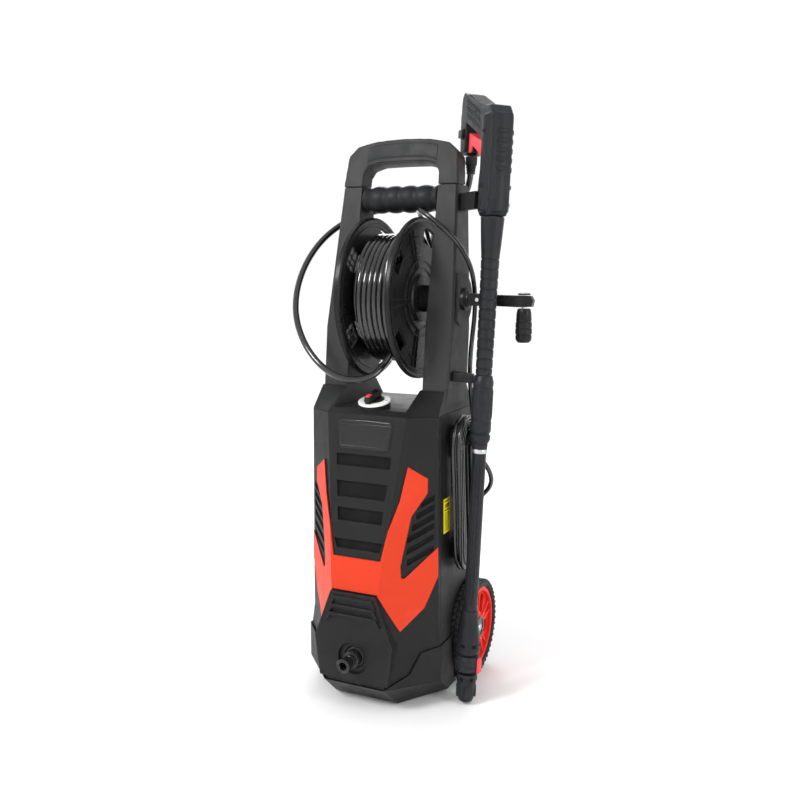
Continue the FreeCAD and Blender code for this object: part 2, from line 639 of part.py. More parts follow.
SIDE_X = 104
HOOK_UPPER, HOOK_LOWER = (-20, 404), (-6, 240)
SADDLE_R, TOE_X, TOE_LONG, PAD_X = 18, 135, 34, 112
hooks = []
for label, (y, z), up in (("hook_upper", HOOK_UPPER, 1), ("hook_lower", HOOK_LOWER, -1)):
    low_z = z if up > 0 else z - SADDLE_R
    toe_low, toe_high = (z - 3, z + TOE_LONG) if up > 0 else (z - TOE_LONG, z + 3)
    saddle = common(label + "_saddle",
                    rod(label + "_round", SADDLE_R, TOE_X - SIDE_X, SIDE_X, y, z, ALONG_X),
                    box(label + "_half", (SIDE_X, y - 20, low_z), (TOE_X, y + 20, low_z + SADDLE_R)))
    hooks += [saddle, box(label + "_toe", (TOE_X, y - 9, toe_low), (TOE_X + 5, y + 9, toe_high)),
              box(label + "_pad", (SIDE_X, y - 21, z - 21), (PAD_X, y + 21, z + 21))]
node("cord_hooks", cut("cord_hooks", fuse("hook_forms", *hooks), casing))
label_plate = box("label_plate", (SIDE_X, -66, 268), (109.4, -42, 322))
node("warning_label", cut("warning_label", label_plate, casing))

GLAND = Vector(109.6, 48, 285)
gland = turned("gland_form", [(4 + fit, -11), (12, -11), (12, 4), (8, 6), (6, 26), (4 + fit, 26)])
node("cord_gland", cut("cord_gland", put(gland, GLAND.x, GLAND.y, GLAND.z, Rotation(Y, 45)), casing))

screws = [rod(f"screw_{x}_{z}", 4, 3, x, back_face(z) + 1.6, z, ALONG_MINUS_Y)
          for x in (-70, 70) for z in (150, 300, 420)]
screw_room = casing_loft("screw_room", 0, floor=2.2)
node("casing_screws", cut("casing_screws", fuse("screw_heads", *screws), screw_room))


# ---------------------------------------------------------------- motor and pump

MOTOR_Y = -20
node("motor_housing", put(ring("motor_housing", 41.5, 54, 196, 352), 0, MOTOR_Y, 0))
rotor = turned("motor_rotor", [(0, 168), (8, 168), (8, 200), (40.5, 200), (40.5, 345), (8, 345),
                               (8, 362), (50, 362), (50, 376), (8, 376), (8, 384), (0, 384)])
node("motor_rotor", put(rotor, 0, MOTOR_Y, 0))
node("wobble_plate", put(turned("wobble_plate", [(8.1, 172), (32, 172), (32, 178), (20, 186),
                                                 (8.1, 186)]), 0, MOTOR_Y, 0))
node("pump_block", box("pump_block", (-48, MOTOR_Y - 48, 60), (48, MOTOR_Y + 48, 140)))
plungers = [rod(f"plunger_{i}", 7, 31, 22 * math.cos(a), MOTOR_Y + 22 * math.sin(a), 140.4)
            for i, a in enumerate((math.pi / 2, math.pi * 7 / 6, math.pi * 11 / 6))]
node("pump_plungers", fuse("pump_plungers", *plungers))
node("pump_pipes", fuse("pump_pipes", rod("inlet_pipe", 8, 62.5, 0, -69.2, 85, ALONG_MINUS_Y),
                        rod("outlet_pipe", 6, 250, -66, 20, 120)))
node("switch_and_capacitor", fuse("switch_and_capacitor",
                                  box("switch_box", (-25, -92, 396), (25, -56, 438)),
                                  rod("capacitor", 18, 80, 70, 50, 240)))


# ---------------------------------------------------------------- hose and lead

def rounded_path(points, tightest):
    """Straight runs joined by tangent arcs, each as large as its two runs allow."""
    edges, start = [], points[0]
    for before, corner, after in zip(points, points[1:], points[2:]):
        inward, outward = before - corner, after - corner
        run = min(inward.Length, outward.Length)
        inward.normalize()
        outward.normalize()
        turn = math.pi - inward.getAngle(outward)
        reach = 0.45 * run
        radius = reach / math.tan(turn / 2)
        tightest.append((round(radius, 1), round(math.degrees(turn)), tuple(corner)))
        entry, leave = corner + inward * reach, corner + outward * reach
        middle = (inward + outward).normalize()
        centre = corner + middle * (radius / math.cos(turn / 2))
        mid_point = centre - middle * radius
        edges.append(Part.LineSegment(start, entry).toShape())
        edges.append(Part.Arc(entry, mid_point, leave).toShape())
        start = leave
    edges.append(Part.LineSegment(start, points[-1]).toShape())
    return Part.Wire(edges)


def cord_tube(label, route, diameter):
    """A cord's tube along its route, checked against section times length."""
    points = [Vector(*p) for p in route]
    radii = []
    path = rounded_path(points, radii)
    section = Part.Wire(Part.Circle(points[0], points[1] - points[0], float(diameter) / 2).toShape())
    shape = path.makePipeShell([section], True, False)
    expected = math.pi * float(diameter) ** 2 / 4 * path.Length
    print(label, "length", round(path.Length), "volume ratio", round(shape.Volume / expected, 4),
          "tightest", sorted(radii)[:3])
    longest = max((b - a).Length for a, b in zip(points, points[1:]))
    print(label, "longest run", round(longest), "runs",
          [round((b - a).Length) for a, b in zip(points, points[1:])])
    tube = doc.addObject("Part::Feature", label)
    tube.Shape = shape
    return node(label, tube)


GUN_TAIL = Placement(LANCE_FOOT, LANCE_TURN.multiply(gun_turn)).multVec(Vector(113, 0, 834))

# The free lead leaves the winding low at the front, loops out to the left, passes behind the
# frame and rises into the gun's handle.
HOSE_ROUTE = [
    (14, -66, 525), (4, -90, 511), (-17, -112, 505), (-48, -122, 511), (-82, -118, 530),
    (-114, -104, 560), (-140, -82, 598), (-155, -50, 640), (-157, -14, 682), (-147, 22, 718),
    (-123, 52, 745), (-86, 66, 760), (-42, 70, 767), (0, 70, 764), (34, 69, 764),
    (62, 68, 768), (85, 65, 781), (98, 62, 803), GUN_TAIL,
]
cord_tube("hose_lead", HOSE_ROUTE, hose_d)

# The power lead's free end climbs the right side from the hank, passes behind the crank and in
# front of the upright, crosses over the reel's rim and lies round the back of the winding.
LEAD_ROUTE = [
    (124, 26, 408), (122, 25, 434), (119, 21, 464), (117, 17, 498), (117, 18, 532), (119, 21, 566),
    (121, 26, 600), (121, 25, 636), (119, 14, 670), (112, -6, 698), (100, -21, 718),
    (86, -29, 732), (72, -31, 744), (58, -28, 753), (46, -19, 758), (38, -6, 759), (33, 9, 755),
    (29, 26, 748), (26, 48, 736), (21, 77, 713), (16, 104, 684), (13, 122, 650), (12, 131, 618),
]
cord_tube("power_lead", LEAD_ROUTE, lead_d)

# From the gland the lead bows outwards and rises into the back of the hank.
GLAND_ROUTE = [
    (128, 48, 303.4), (136.5, 47.5, 312), (143.5, 45, 322), (147.5, 40.5, 334), (147, 34, 347),
    (143, 26.5, 360), (137, 19.5, 373), (132, 13.5, 387),
]
cord_tube("gland_lead", GLAND_ROUTE, lead_d)
plug = turned("power_plug", [(0, -58), (15, -58), (17, -50), (17, -26), (11, -14), (6, 0), (0, 0)])
pins = [rod(f"plug_pin_{x}", 2.4, 19, x, 0, -77) for x in (-9, 9)]
node("power_plug", put(fuse("power_plug_group", plug, *pins), 12, 131, 618))

# The rest of the power lead: a hank hung over the two side hooks.
HANK_IN, HANK_OUT = 18.6, 41.4


def hank_form(label, radius, low_x, deep):
    """Solid stadium between the two hooks, as thick as deep along X."""
    ends = [rod(f"{label}_end_{z}", radius, deep, low_x, y, z, ALONG_X)
            for y, z in (HOOK_LOWER, HOOK_UPPER)]
    run_y, run_z = HOOK_UPPER[0] - HOOK_LOWER[0], HOOK_UPPER[1] - HOOK_LOWER[1]
    slope = math.degrees(math.atan2(-run_y, run_z))
    middle = doc.addObject("Part::Box", label + "_middle")
    middle.Length, middle.Width, middle.Height = deep, 2 * radius, math.hypot(run_y, run_z)
    turn = Rotation(X, slope)
    middle.Placement = Placement(Vector(low_x, *HOOK_LOWER) - turn.multVec(Vector(0, radius, 0)),
                                 turn)
    return fuse(label, middle, *ends)


node("power_hank", cut("power_hank", hank_form("hank_outer", HANK_OUT, 113.5, 20),
                       hank_form("hank_inner", HANK_IN, 100, 50)))


# ---------------------------------------------------------------- checks and export

doc.recompute()
for thing in doc.Objects:
    if "Invalid" in thing.State or "Error" in thing.State:
        raise RuntimeError(f"{thing.Name} failed to build: {thing.State}")
os.makedirs("parts", exist_ok=True)
for label, thing in nodes.items():
    shape = thing.Shape
    if shape.isNull() or not shape.isValid() or not shape.Solids:
        raise RuntimeError(f"{label} has no valid solid")
    shape.exportStep(f"parts/{label}.step")
print(len(nodes), "sub-parts written")
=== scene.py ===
"""Upright pressure washer: its looks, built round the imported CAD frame.

Metres in the scene, millimetres in the tables below. +Z up, front towards -Y, lance on +X.
"""
import json
import math
import random

import bmesh
import bpy
from mathutils import Matrix, Vector


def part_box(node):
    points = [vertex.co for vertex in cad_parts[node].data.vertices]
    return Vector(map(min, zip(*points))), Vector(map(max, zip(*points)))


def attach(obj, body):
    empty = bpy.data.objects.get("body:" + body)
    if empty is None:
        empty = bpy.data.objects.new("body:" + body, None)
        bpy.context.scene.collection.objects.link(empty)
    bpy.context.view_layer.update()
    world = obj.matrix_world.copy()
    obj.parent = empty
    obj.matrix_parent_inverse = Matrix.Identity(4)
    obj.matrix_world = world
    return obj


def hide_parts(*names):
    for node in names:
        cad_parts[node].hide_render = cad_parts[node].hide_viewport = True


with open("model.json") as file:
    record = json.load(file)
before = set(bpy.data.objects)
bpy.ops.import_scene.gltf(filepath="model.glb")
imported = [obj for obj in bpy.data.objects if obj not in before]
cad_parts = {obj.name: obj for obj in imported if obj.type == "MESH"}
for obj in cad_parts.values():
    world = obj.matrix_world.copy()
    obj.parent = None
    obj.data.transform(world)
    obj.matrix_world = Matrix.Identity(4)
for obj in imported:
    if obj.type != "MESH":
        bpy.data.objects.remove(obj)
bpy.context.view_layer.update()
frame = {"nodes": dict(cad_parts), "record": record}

MM = 0.001
NODES = frame["nodes"]
RECORD = frame["record"]
BODY_OF = {n: b for b, names in RECORD["behaviour"]["bodies"].items() for n in names}
SLOT_OF = {s["node"]: s["material_slot"] for s in RECORD["subparts"]}
SHARP = math.radians(28)


# ---------------------------------------------------------------- materials


class Graph:
    """A material's node tree, with short calls for the nodes that are used here."""

    def __init__(self, name):
        self.mat = bpy.data.materials.new(name)
        self.mat.use_nodes = True
        self.tree = self.mat.node_tree
        self.shader = self.tree.nodes["Principled BSDF"]
        self.where = self.add("ShaderNodeTexCoord").outputs

    def add(self, kind, sockets=None, **settings):
        made = self.tree.nodes.new(kind)
        for key, value in settings.items():
            setattr(made, key, value)
        for key, value in (sockets or {}).items():
            self.feed(made.inputs[key], value)
        return made

    def feed(self, socket, value):
        if isinstance(value, bpy.types.NodeSocket):
            self.tree.links.new(value, socket)
        else:
            socket.default_value = value

    def noise(self, scale, detail=3.0, place=None):
        sockets = {"Vector": place or self.where["Object"], "Scale": scale, "Detail": detail}
        return self.add("ShaderNodeTexNoise", sockets).outputs["Fac"]

    def ranged(self, value, low, high, to_low, to_high):
        sockets = {"Value": value, "From Min": low, "From Max": high, "To Min": to_low,
                   "To Max": to_high}
        return self.add("ShaderNodeMapRange", sockets).outputs["Result"]

    def maths(self, operation, a, b=0.0):
        made = self.add("ShaderNodeMath", operation=operation)
        self.feed(made.inputs[0], a)
        self.feed(made.inputs[1], b)
        return made.outputs[0]

    def mixed(self, share, a, b):
        made = self.add("ShaderNodeMix", data_type="RGBA")
        for index, value in ((0, share), (6, a), (7, b)):
            self.feed(made.inputs[index], value)
        return made.outputs[2]

    def bump(self, height, strength, distance, under=None):
        sockets = {"Height": height, "Strength": strength, "Distance": distance}
        if under is not None:
            sockets["Normal"] = under
        return self.add("ShaderNodeBump", sockets).outputs["Normal"]


def rgba(colour, gain=1.0, lift=0.0):
    return tuple(min(1.0, c * gain + lift) for c in colour) + (1.0,)


def moulded(name, colour, rough, grain=1500.0, depth=0.3, vary=0.18, worn=0.35, coat=0.0,
            metal=0.0, scuffs=0.25):
    """Moulded plastic or rubber: spark-eroded grain, uneven sheen, rubbed edges, fine scuffs."""
    g = Graph(name)
    broad = g.noise(14.0, 5.0)
    tone = g.mixed(broad, rgba(colour, 1 - vary), rgba(colour, 1 + vary, 0.002))
    edge = g.ranged(g.add("ShaderNodeNewGeometry").outputs["Pointiness"], 0.515, 0.60, 0.0, worn)
    rubbed = g.maths("MULTIPLY", edge, g.ranged(g.noise(120.0, 4.0), 0.35, 0.65, 0.1, 1.0))
    stretched = g.add("ShaderNodeMapping", {"Vector": g.where["Object"],
                                            "Scale": (1.0, 1.3, 0.12)}).outputs[0]
    streak = g.ranged(g.noise(260.0, 6.0, stretched), 0.62, 0.78, 0.0, scuffs)
    marks = g.maths("MAXIMUM", rubbed, g.maths("MULTIPLY", streak, 0.35))
    g.feed(g.shader.inputs["Base Color"], g.mixed(marks, tone, rgba(colour, 1.3, 0.05)))
    sheen = g.ranged(g.noise(42.0, 5.0), 0.3, 0.7, rough - 0.05, rough + 0.07)
    g.feed(g.shader.inputs["Roughness"], g.maths("ADD", sheen, g.maths("MULTIPLY", streak, 0.3)))
    under = g.bump(g.noise(28.0, 2.0), 0.08, 0.002)
    g.feed(g.shader.inputs["Normal"], g.bump(g.noise(grain, 2.0), depth, 0.00025, under))
    g.shader.inputs["Metallic"].default_value = metal
    g.shader.inputs["Coat Weight"].default_value = coat
    g.shader.inputs["Coat Roughness"].default_value = 0.12
    g.shader.inputs["Specular IOR Level"].default_value = 0.2
    return g.mat


def turned_metal(name, colour, rough):
    """Machined metal with fine turning marks and a few stains."""
    g = Graph(name)
    marks = g.add("ShaderNodeMapping", {"Vector": g.where["Object"],
                                        "Scale": (0.15, 0.15, 6.0)}).outputs[0]
    lines = g.noise(700.0, 3.0, marks)
    g.feed(g.shader.inputs["Base Color"], g.mixed(g.noise(60.0, 4.0), rgba(colour, 0.8),
                                                  rgba(colour, 1.05)))
    g.feed(g.shader.inputs["Roughness"], g.ranged(lines, 0.3, 0.7, rough - 0.08, rough + 0.12))
    g.feed(g.shader.inputs["Normal"], g.bump(lines, 0.15, 0.0001))
    g.shader.inputs["Metallic"].default_value = 1.0
    return g.mat


def printed_hose(name, colour, rough, print_colour, pitch, coat):
    """Cord jacket: long glossy form, slight ripple, faint wear, and short printed dashes."""
    g = Graph(name)
    along = g.add("ShaderNodeSeparateXYZ", {"Vector": g.where["UV"]}).outputs
    step = g.maths("FRACT", g.maths("DIVIDE", along[0], pitch))
    dash = g.maths("LESS_THAN", step, 0.42)
    letters = g.maths("GREATER_THAN", g.noise(1.0, 0.0, g.add("ShaderNodeMapping", {
        "Vector": g.where["UV"], "Scale": (520.0, 3.0, 1.0)}).outputs[0]), 0.5)
    band = g.maths("LESS_THAN", g.maths("ABSOLUTE", g.maths("SUBTRACT", along[1], 0.5)), 0.028)
    ink = g.maths("MULTIPLY", g.maths("MULTIPLY", dash, letters), band)
    tone = g.mixed(g.noise(20.0, 4.0), rgba(colour, 0.8), rgba(colour, 1.25))
    g.feed(g.shader.inputs["Base Color"], g.mixed(ink, tone, rgba(print_colour)))
    g.feed(g.shader.inputs["Roughness"], g.ranged(g.noise(55.0, 5.0), 0.3, 0.7, rough - 0.05,
                                                  rough + 0.08))
    ripple = g.bump(g.noise(90.0, 2.0), 0.12, 0.0008)
    g.feed(g.shader.inputs["Normal"], g.bump(g.noise(1800.0, 2.0), 0.12, 0.0001, ripple))
    g.shader.inputs["Coat Weight"].default_value = coat
    g.shader.inputs["Coat Roughness"].default_value = 0.08
    return g.mat


MATERIALS = {
    "casing_black": moulded("casing_plastic", (0.0085, 0.0086, 0.0092), 0.44, 1500, 0.35),
    "frame_charcoal": moulded("frame_plastic", (0.026, 0.026, 0.0265), 0.5, 1300, 0.4, 0.12),
    "trim_red": moulded("trim_plastic", (0.60, 0.036, 0.008), 0.38, 1700, 0.15, 0.06, 0.12,
                        scuffs=0.1),
    "wheel_red": moulded("wheel_plastic", (0.74, 0.028, 0.018), 0.35, 1500, 0.2, 0.1, 0.2),
    "tyre_black": moulded("tyre_plastic", (0.020, 0.020, 0.021), 0.55, 900, 0.5, 0.3, 0.6),
    "foot_rubber": moulded("foot_rubber", (0.030, 0.030, 0.030), 0.7, 900, 0.4),
    "hose_black": printed_hose("hose_jacket", (0.005, 0.005, 0.006), 0.16, (0.42, 0.42, 0.42),
                               0.16, 0.7),
    "lead_black": printed_hose("lead_jacket", (0.006, 0.006, 0.0065), 0.2, (0.06, 0.06, 0.06),
                               0.3, 0.5),
    "reel_black": moulded("reel_plastic", (0.0065, 0.0066, 0.0072), 0.30, 1500, 0.15, 0.2, 0.25),
    "grip_black": moulded("grip_rubber", (0.011, 0.0115, 0.013), 0.46, 1100, 0.6, 0.2, 0.3),
    "gun_black": moulded("gun_plastic", (0.0125, 0.0132, 0.0155), 0.40, 1200, 0.35, 0.2, 0.4),
    "trigger_red": moulded("trigger_plastic", (0.80, 0.060, 0.075), 0.35, 1500, 0.15, 0.06, 0.15),
    "dial_white": moulded("dial_plastic", (0.80, 0.80, 0.78), 0.35, 1500, 0.1, 0.04, 0.0,
                          scuffs=0.1),
    "label_yellow": moulded("label_film", (0.86, 0.72, 0.015), 0.4, 600, 0.1, 0.06, 0.0),
    "plate_black": moulded("plate_plastic", (0.010, 0.010, 0.011), 0.16, 1500, 0.04, 0.1, 0.2,
                           coat=0.4),
    # Near-black for recess floors and nozzle windows: painted shade, standing for the shadow inside
    # openings.
    "vent_painted_shade": moulded("vent_shadow", (0.0012, 0.0012, 0.0013), 0.75, 1500, 0.2, 0.1, 0.0,
                         scuffs=0.0),
    "steel": turned_metal("turned_steel", (0.60, 0.61, 0.62), 0.32),
    "cast_aluminium": moulded("cast_aluminium", (0.60, 0.61, 0.62), 0.5, 700, 0.5, 0.1, 0.3,
                              metal=1.0),
    "brass": turned_metal("turned_brass", (0.72, 0.52, 0.24), 0.3),
}


# ---------------------------------------------------------------- building pieces


def dress(obj, body, slot, replaced=(), material=None):
    """Give a finished piece its material, its body and the CAD nodes that it stands for."""
    obj.data.materials.clear()
    obj.data.materials.append(material or MATERIALS[slot])
    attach(obj, body)
    if replaced:
        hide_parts(*replaced)
    return obj


def linked(name, bm, place=None, smooth=True, sharp=SHARP):
    """An object from a bmesh, moved to its place, with its hard edges marked."""
    bmesh.ops.recalc_face_normals(bm, faces=bm.faces)
    if place is not None:
        bm.transform(place)
    for face in bm.faces:
        face.smooth = smooth
    for edge in bm.edges:
        edge.smooth = edge.calc_face_angle(0.0) < sharp
    mesh = bpy.data.meshes.new(name)
    bm.to_mesh(mesh)
    bm.free()
    obj = bpy.data.objects.new(name, mesh)
    bpy.context.scene.collection.objects.link(obj)
    return obj


def rounded(obj, width, segments=3):
    """Round a piece's hard edges and keep its broad faces flat."""
    bevel = obj.modifiers.new("rounded_edges", "BEVEL")
    bevel.width = width * MM
    bevel.segments = segments
    bevel.limit_method = "ANGLE"
    bevel.angle_limit = SHARP
    bevel.use_clamp_overlap = True
    bevel.harden_normals = False
    normals = obj.modifiers.new("flat_faces", "WEIGHTED_NORMAL")
    normals.keep_sharp = True
    return obj


def welded(node):
    """A CAD node's mesh as a bmesh, with its split edges welded and its flat faces joined."""
    source = NODES[node].data
    bm = bmesh.new()
    for vertex in source.vertices:
        bm.verts.new(vertex.co)
    bm.verts.ensure_lookup_table()
    for face in source.polygons:
        corners = [bm.verts[i] for i in face.vertices]
        if len(set(corners)) == len(corners):
            bm.faces.new(corners)
    bmesh.ops.remove_doubles(bm, verts=bm.verts, dist=0.02 * MM)
    bmesh.ops.dissolve_limit(bm, angle_limit=math.radians(1.5), verts=bm.verts, edges=bm.edges)
    return bm


def copied(node, width, segments=3, sunk=None):
    """A piece with a CAD node's form and rounded edges, which stands for that node.

    Faces whose middle the test sunk picks are in shadow, and get a near-black colour there: painted
    shade."""
    obj = linked(node + "_shape", welded(node))
    rounded(obj, width, segments)
    dress(obj, BODY_OF[node], SLOT_OF[node], [node])
    if sunk:
        obj.data.materials.append(MATERIALS["vent_painted_shade"])
        for face in obj.data.polygons:
            face.material_index = int(sunk(face.center / MM, face.normal))
    return obj


def baked(obj):
    """The piece with its modifiers applied."""
    bpy.context.view_layer.update()
    graph = bpy.context.evaluated_depsgraph_get()
    mesh = bpy.data.meshes.new_from_object(obj.evaluated_get(graph))
    obj.modifiers.clear()
    obj.data = mesh


def opened(obj, low, high, place):
    """Cut a straight-sided opening (corners in mm) through a piece, for a part that moves in it."""
    bm = bmesh.new()
    low, high = Vector(low), Vector(high)
    add_block(bm, (low + high) / 2, high - low)
    cutter = linked("opening_cutter", bm, place)
    cut = obj.modifiers.new("opening", "BOOLEAN")
    cut.operation = "DIFFERENCE"
    cut.object = cutter
    baked(obj)
    bpy.data.objects.remove(cutter)


def melted(name, nodes, voxel, turns):
    """CAD nodes merged into one skin with softly rounded edges, standing for those nodes."""
    bm = bmesh.new()
    for node in nodes:
        part = welded(node)
        mesh = bpy.data.meshes.new(name)
        part.to_mesh(mesh)
        part.free()
        bm.from_mesh(mesh)
        bpy.data.meshes.remove(mesh)
    obj = linked(name, bm)
    remesh = obj.modifiers.new("skin", "REMESH")
    remesh.mode = "VOXEL"
    remesh.voxel_size = voxel * MM
    remesh.use_smooth_shade = True
    soften = obj.modifiers.new("soften", "SMOOTH")
    soften.factor = 0.5
    soften.iterations = turns
    return dress(obj, BODY_OF[nodes[0]], SLOT_OF[nodes[0]], nodes)


def turned(name, profile, place, sides=72, closed=False, sharp=SHARP):
    """A form turned about its place's Z axis from (radius, height) pairs."""
    bm = bmesh.new()
    rings = []
    for radius, height in profile:
        if radius < 1e-6:
            rings.append([bm.verts.new((0, 0, height * MM))])
            continue
        turn = [2 * math.pi * i / sides for i in range(sides)]
        rings.append([bm.verts.new((radius * MM * math.cos(a), radius * MM * math.sin(a),
                                    height * MM)) for a in turn])
    for low, high in zip(rings, rings[1:] + (rings[:1] if closed else [])):
        for i in range(sides):
            j = (i + 1) % sides
            corners = [low[i % len(low)], low[j % len(low)], high[j % len(high)],
                       high[i % len(high)]]
            corners = list(dict.fromkeys(corners))
            if len(corners) > 2:
                bm.faces.new(corners)
    return linked(name, bm, place, sharp=sharp)


def add_block(bm, centre, size, turn=None, taper=1.0):
    """One block with an optional taper towards its local +Z, added to a bmesh (millimetres)."""
    made = bmesh.ops.create_cube(bm, size=1.0)["verts"]
    for vertex in made:
        narrow = taper if vertex.co.z > 0 else 1.0
        vertex.co = Vector((vertex.co.x * size[0] * narrow, vertex.co.y * size[1] * narrow,
                            vertex.co.z * size[2]))
    matrix = Matrix.Translation(Vector(centre)) @ (turn or Matrix.Identity(4))
    bmesh.ops.transform(bm, matrix=Matrix.Scale(MM, 4) @ matrix, verts=made)


def add_plate(bm, outline, low, high, frame_of=None):
    """A flat plate with an outline in local XY between two heights, added to a bmesh."""
    bottom = [bm.verts.new((x * MM, y * MM, low * MM)) for x, y in outline]
    top = [bm.verts.new((x * MM, y * MM, high * MM)) for x, y in outline]
    bm.faces.new(list(reversed(bottom)))
    bm.faces.new(top)
    for i in range(len(outline)):
        j = (i + 1) % len(outline)
        bm.faces.new([bottom[i], bottom[j], top[j], top[i]])
    if frame_of is not None:
        bmesh.ops.transform(bm, matrix=frame_of, verts=bottom + top)


def at(x, y, z):
    return Matrix.Translation(Vector((x, y, z)) * MM)


def facing(place, direction, up=(0, 0, 1)):
    """A frame whose Z axis points in a direction and whose Y axis is near up."""
    z = Vector(direction).normalized()
    x = Vector(up).cross(z).normalized()
    y = z.cross(x)
    turn = Matrix((x, y, z)).transposed().to_4x4()
    return Matrix.Translation(Vector(place) * MM) @ turn


def spline_points(name, control):
    """Points along the smooth NURBS line through a route's control points (metres)."""
    curve = bpy.data.curves.new(name, "CURVE")
    curve.dimensions = "3D"
    spline = curve.splines.new("NURBS")
    spline.points.add(len(control) - 1)
    for point, place in zip(spline.points, control):
        point.co = (*place, 1.0)
    spline.order_u = 3
    spline.use_endpoint_u = True
    spline.resolution_u = 6
    line = bpy.data.objects.new(name, curve)
    bpy.context.scene.collection.objects.link(line)
    bpy.context.view_layer.update()
    mesh = bpy.data.meshes.new_from_object(line)
    found = [v.co.copy() for v in mesh.vertices]
    bpy.data.objects.remove(line)
    bpy.data.meshes.remove(mesh)
    return found


def tube(name, points, radius, sides=18):
    """A round tube along points, with its length in metres in its UV map."""
    bm = bmesh.new()
    uv = bm.loops.layers.uv.new("along")
    aims = [(b - a).normalized() for a, b in zip(points, points[1:])]
    aims = [aims[0]] + [(a + b).normalized() for a, b in zip(aims, aims[1:])] + [aims[-1]]
    side = aims[0].orthogonal().normalized()
    rings, run, runs = [], 0.0, []
    for i, (point, aim) in enumerate(zip(points, aims)):
        if i:
            run += (point - points[i - 1]).length
            side = (side - aim * side.dot(aim)).normalized()
        runs.append(run)
        other = aim.cross(side)
        rings.append([bm.verts.new(point + (side * math.cos(t) + other * math.sin(t)) * radius)
                      for t in (2 * math.pi * k / sides for k in range(sides))])
    for i in range(len(rings) - 1):
        for k in range(sides):
            n = (k + 1) % sides
            face = bm.faces.new([rings[i][k], rings[i][n], rings[i + 1][n], rings[i + 1][k]])
            places = [(runs[i], k), (runs[i], k + 1), (runs[i + 1], k + 1), (runs[i + 1], k)]
            for loop, (u, v) in zip(face.loops, places):
                loop[uv].uv = (u, v / sides)
    for ring, back in ((rings[0], True), (rings[-1], False)):
        bm.faces.new(list(reversed(ring)) if back else ring)
    return linked(name, bm, sharp=math.radians(60))


# ---------------------------------------------------------------- camera


camera = bpy.data.objects.new("camera", bpy.data.cameras.new("camera"))
bpy.context.scene.collection.objects.link(camera)
camera.location = (0.62086, -1.31368, 0.684)
camera.rotation_euler = (math.radians(90 - 8.79), 0.0, math.radians(25.15))
camera.data.lens = 41.04
camera.data.sensor_width = 36.0
camera.data.clip_end = 50.0
bpy.context.scene.camera = camera


# ---------------------------------------------------------------- cords

REEL = Vector((0, -2, 623))
HOSE_D, LEAD_D = 10.0, 7.5
TURN_POINTS = 14
INSIDE = 4 / (3 + math.cos(2 * math.pi / TURN_POINTS))  # the spline runs inside its points


def winding():
    """Control points of the hose on the drum: two full layers and most of a turn of a third."""
    dice = random.Random(4)
    layers = [(85.6, 31.0, -31.0, 6.0), (95.2, -26.5, 26.0, 6.0), (104.4, 26.0, 14.0, 0.72)]
    total = sum(turns for _, _, _, turns in layers)
    last_angle = math.radians(237)
    angle = last_angle + 2 * math.pi * total
    points = []
    for radius, start, stop, turns in layers:
        count = round(turns * TURN_POINTS)
        for i in range(count):
            share = i / count
            x = start + (stop - start) * share + dice.uniform(-0.5, 0.5)
            r = (radius + dice.uniform(-0.3, 0.3)) * INSIDE
            a = angle - 2 * math.pi * turns * share
            points.append(Vector((x, REEL.y + r * math.cos(a), REEL.z + r * math.sin(a))) * MM)
        angle -= 2 * math.pi * turns
    return points


HOSE_ROUTE = [(14, -58, 538), (9, -78, 517), (-5, -97, 505), (-27, -114, 503), (-52, -120, 511),
              (-82, -118, 530), (-114, -104, 560), (-140, -82, 598), (-155, -50, 640),
              (-157, -14, 682), (-147, 22, 718), (-123, 52, 745), (-86, 66, 760), (-42, 70, 767),
              (0, 70, 764), (34, 69, 764), (62, 68, 768), (85, 65, 781), (97, 62, 803),
              (98.6, 60.7, 831)]

HOOK_UPPER, HOOK_LOWER = Vector((-20, 404)), Vector((-6, 240))
# Each turn of the hank: depth along X, radius round the hooks, how far its back run hangs out.
HANK = [(129.6, 22.6, 0), (123.4, 26.4, 2), (117.4, 22.6, 0), (117.5, 30.2, 1), (123.5, 34.0, 4),
        (129.6, 30.2, 3), (129.7, 37.6, 6), (120.5, 37.4, 2)]
GLAND_ROUTE = [(128, 48, 303.4), (136.5, 47.5, 312), (143.5, 45, 322), (147.5, 40.5, 334),
               (147, 34, 347), (143, 26.5, 360), (137, 17, 373), (132, 8, 390)]
LEAD_ROUTE = [(122, 21, 418), (121, 22, 440), (119, 20, 466), (117, 17, 498), (117, 18, 532),
              (119, 21, 566), (121, 26, 600), (121, 25, 636), (119, 14, 670), (112, -6, 698),
              (100, -21, 718), (86, -29, 732), (72, -31, 744), (58, -28, 753), (46, -19, 758),
              (38, -6, 759), (33, 9, 755), (29, 26, 748), (26, 48, 736), (21, 77, 713),
              (16, 104, 684), (13, 122, 650), (12, 131, 618)]


def hank_route():
    """Control points of the hank's turns: over the upper hook, down, under the lower, up."""
    dice = random.Random(11)
    up = (HOOK_UPPER - HOOK_LOWER).normalized()
    back = Vector((up.y, -up.x))
    long = (HOOK_UPPER - HOOK_LOWER).length
    arc = [math.radians(d) for d in (22, 56, 90, 124, 158)]
    points = []
    for turn, (x, radius, bulge) in enumerate(HANK):
        r = radius * 1.11
        made = [HOOK_UPPER + (back * math.cos(a) + up * math.sin(a)) * r for a in arc]
        made += [HOOK_LOWER + up * long * s - back * (r - 0.5 * bulge * math.sin(math.pi * s))
                 for s in (0.9, 0.5, 0.1)]
        made += [HOOK_LOWER - (back * math.cos(a) + up * math.sin(a)) * r for a in arc]
        made += [HOOK_LOWER + up * long * s + back * (r + bulge * math.sin(math.pi * s))
                 for s in (0.1, 0.5, 0.9)]
        following = HANK[min(turn + 1, len(HANK) - 1)][0]
        for i, p in enumerate(made):
            share = max(0.0, min(1.0, (i - 7) / 8))
            depth = x + (following - x) * share + dice.uniform(-0.3, 0.3)
            points.append(Vector((depth, p.x + dice.uniform(-0.15, 0.15), p.y)) * MM)
    return points


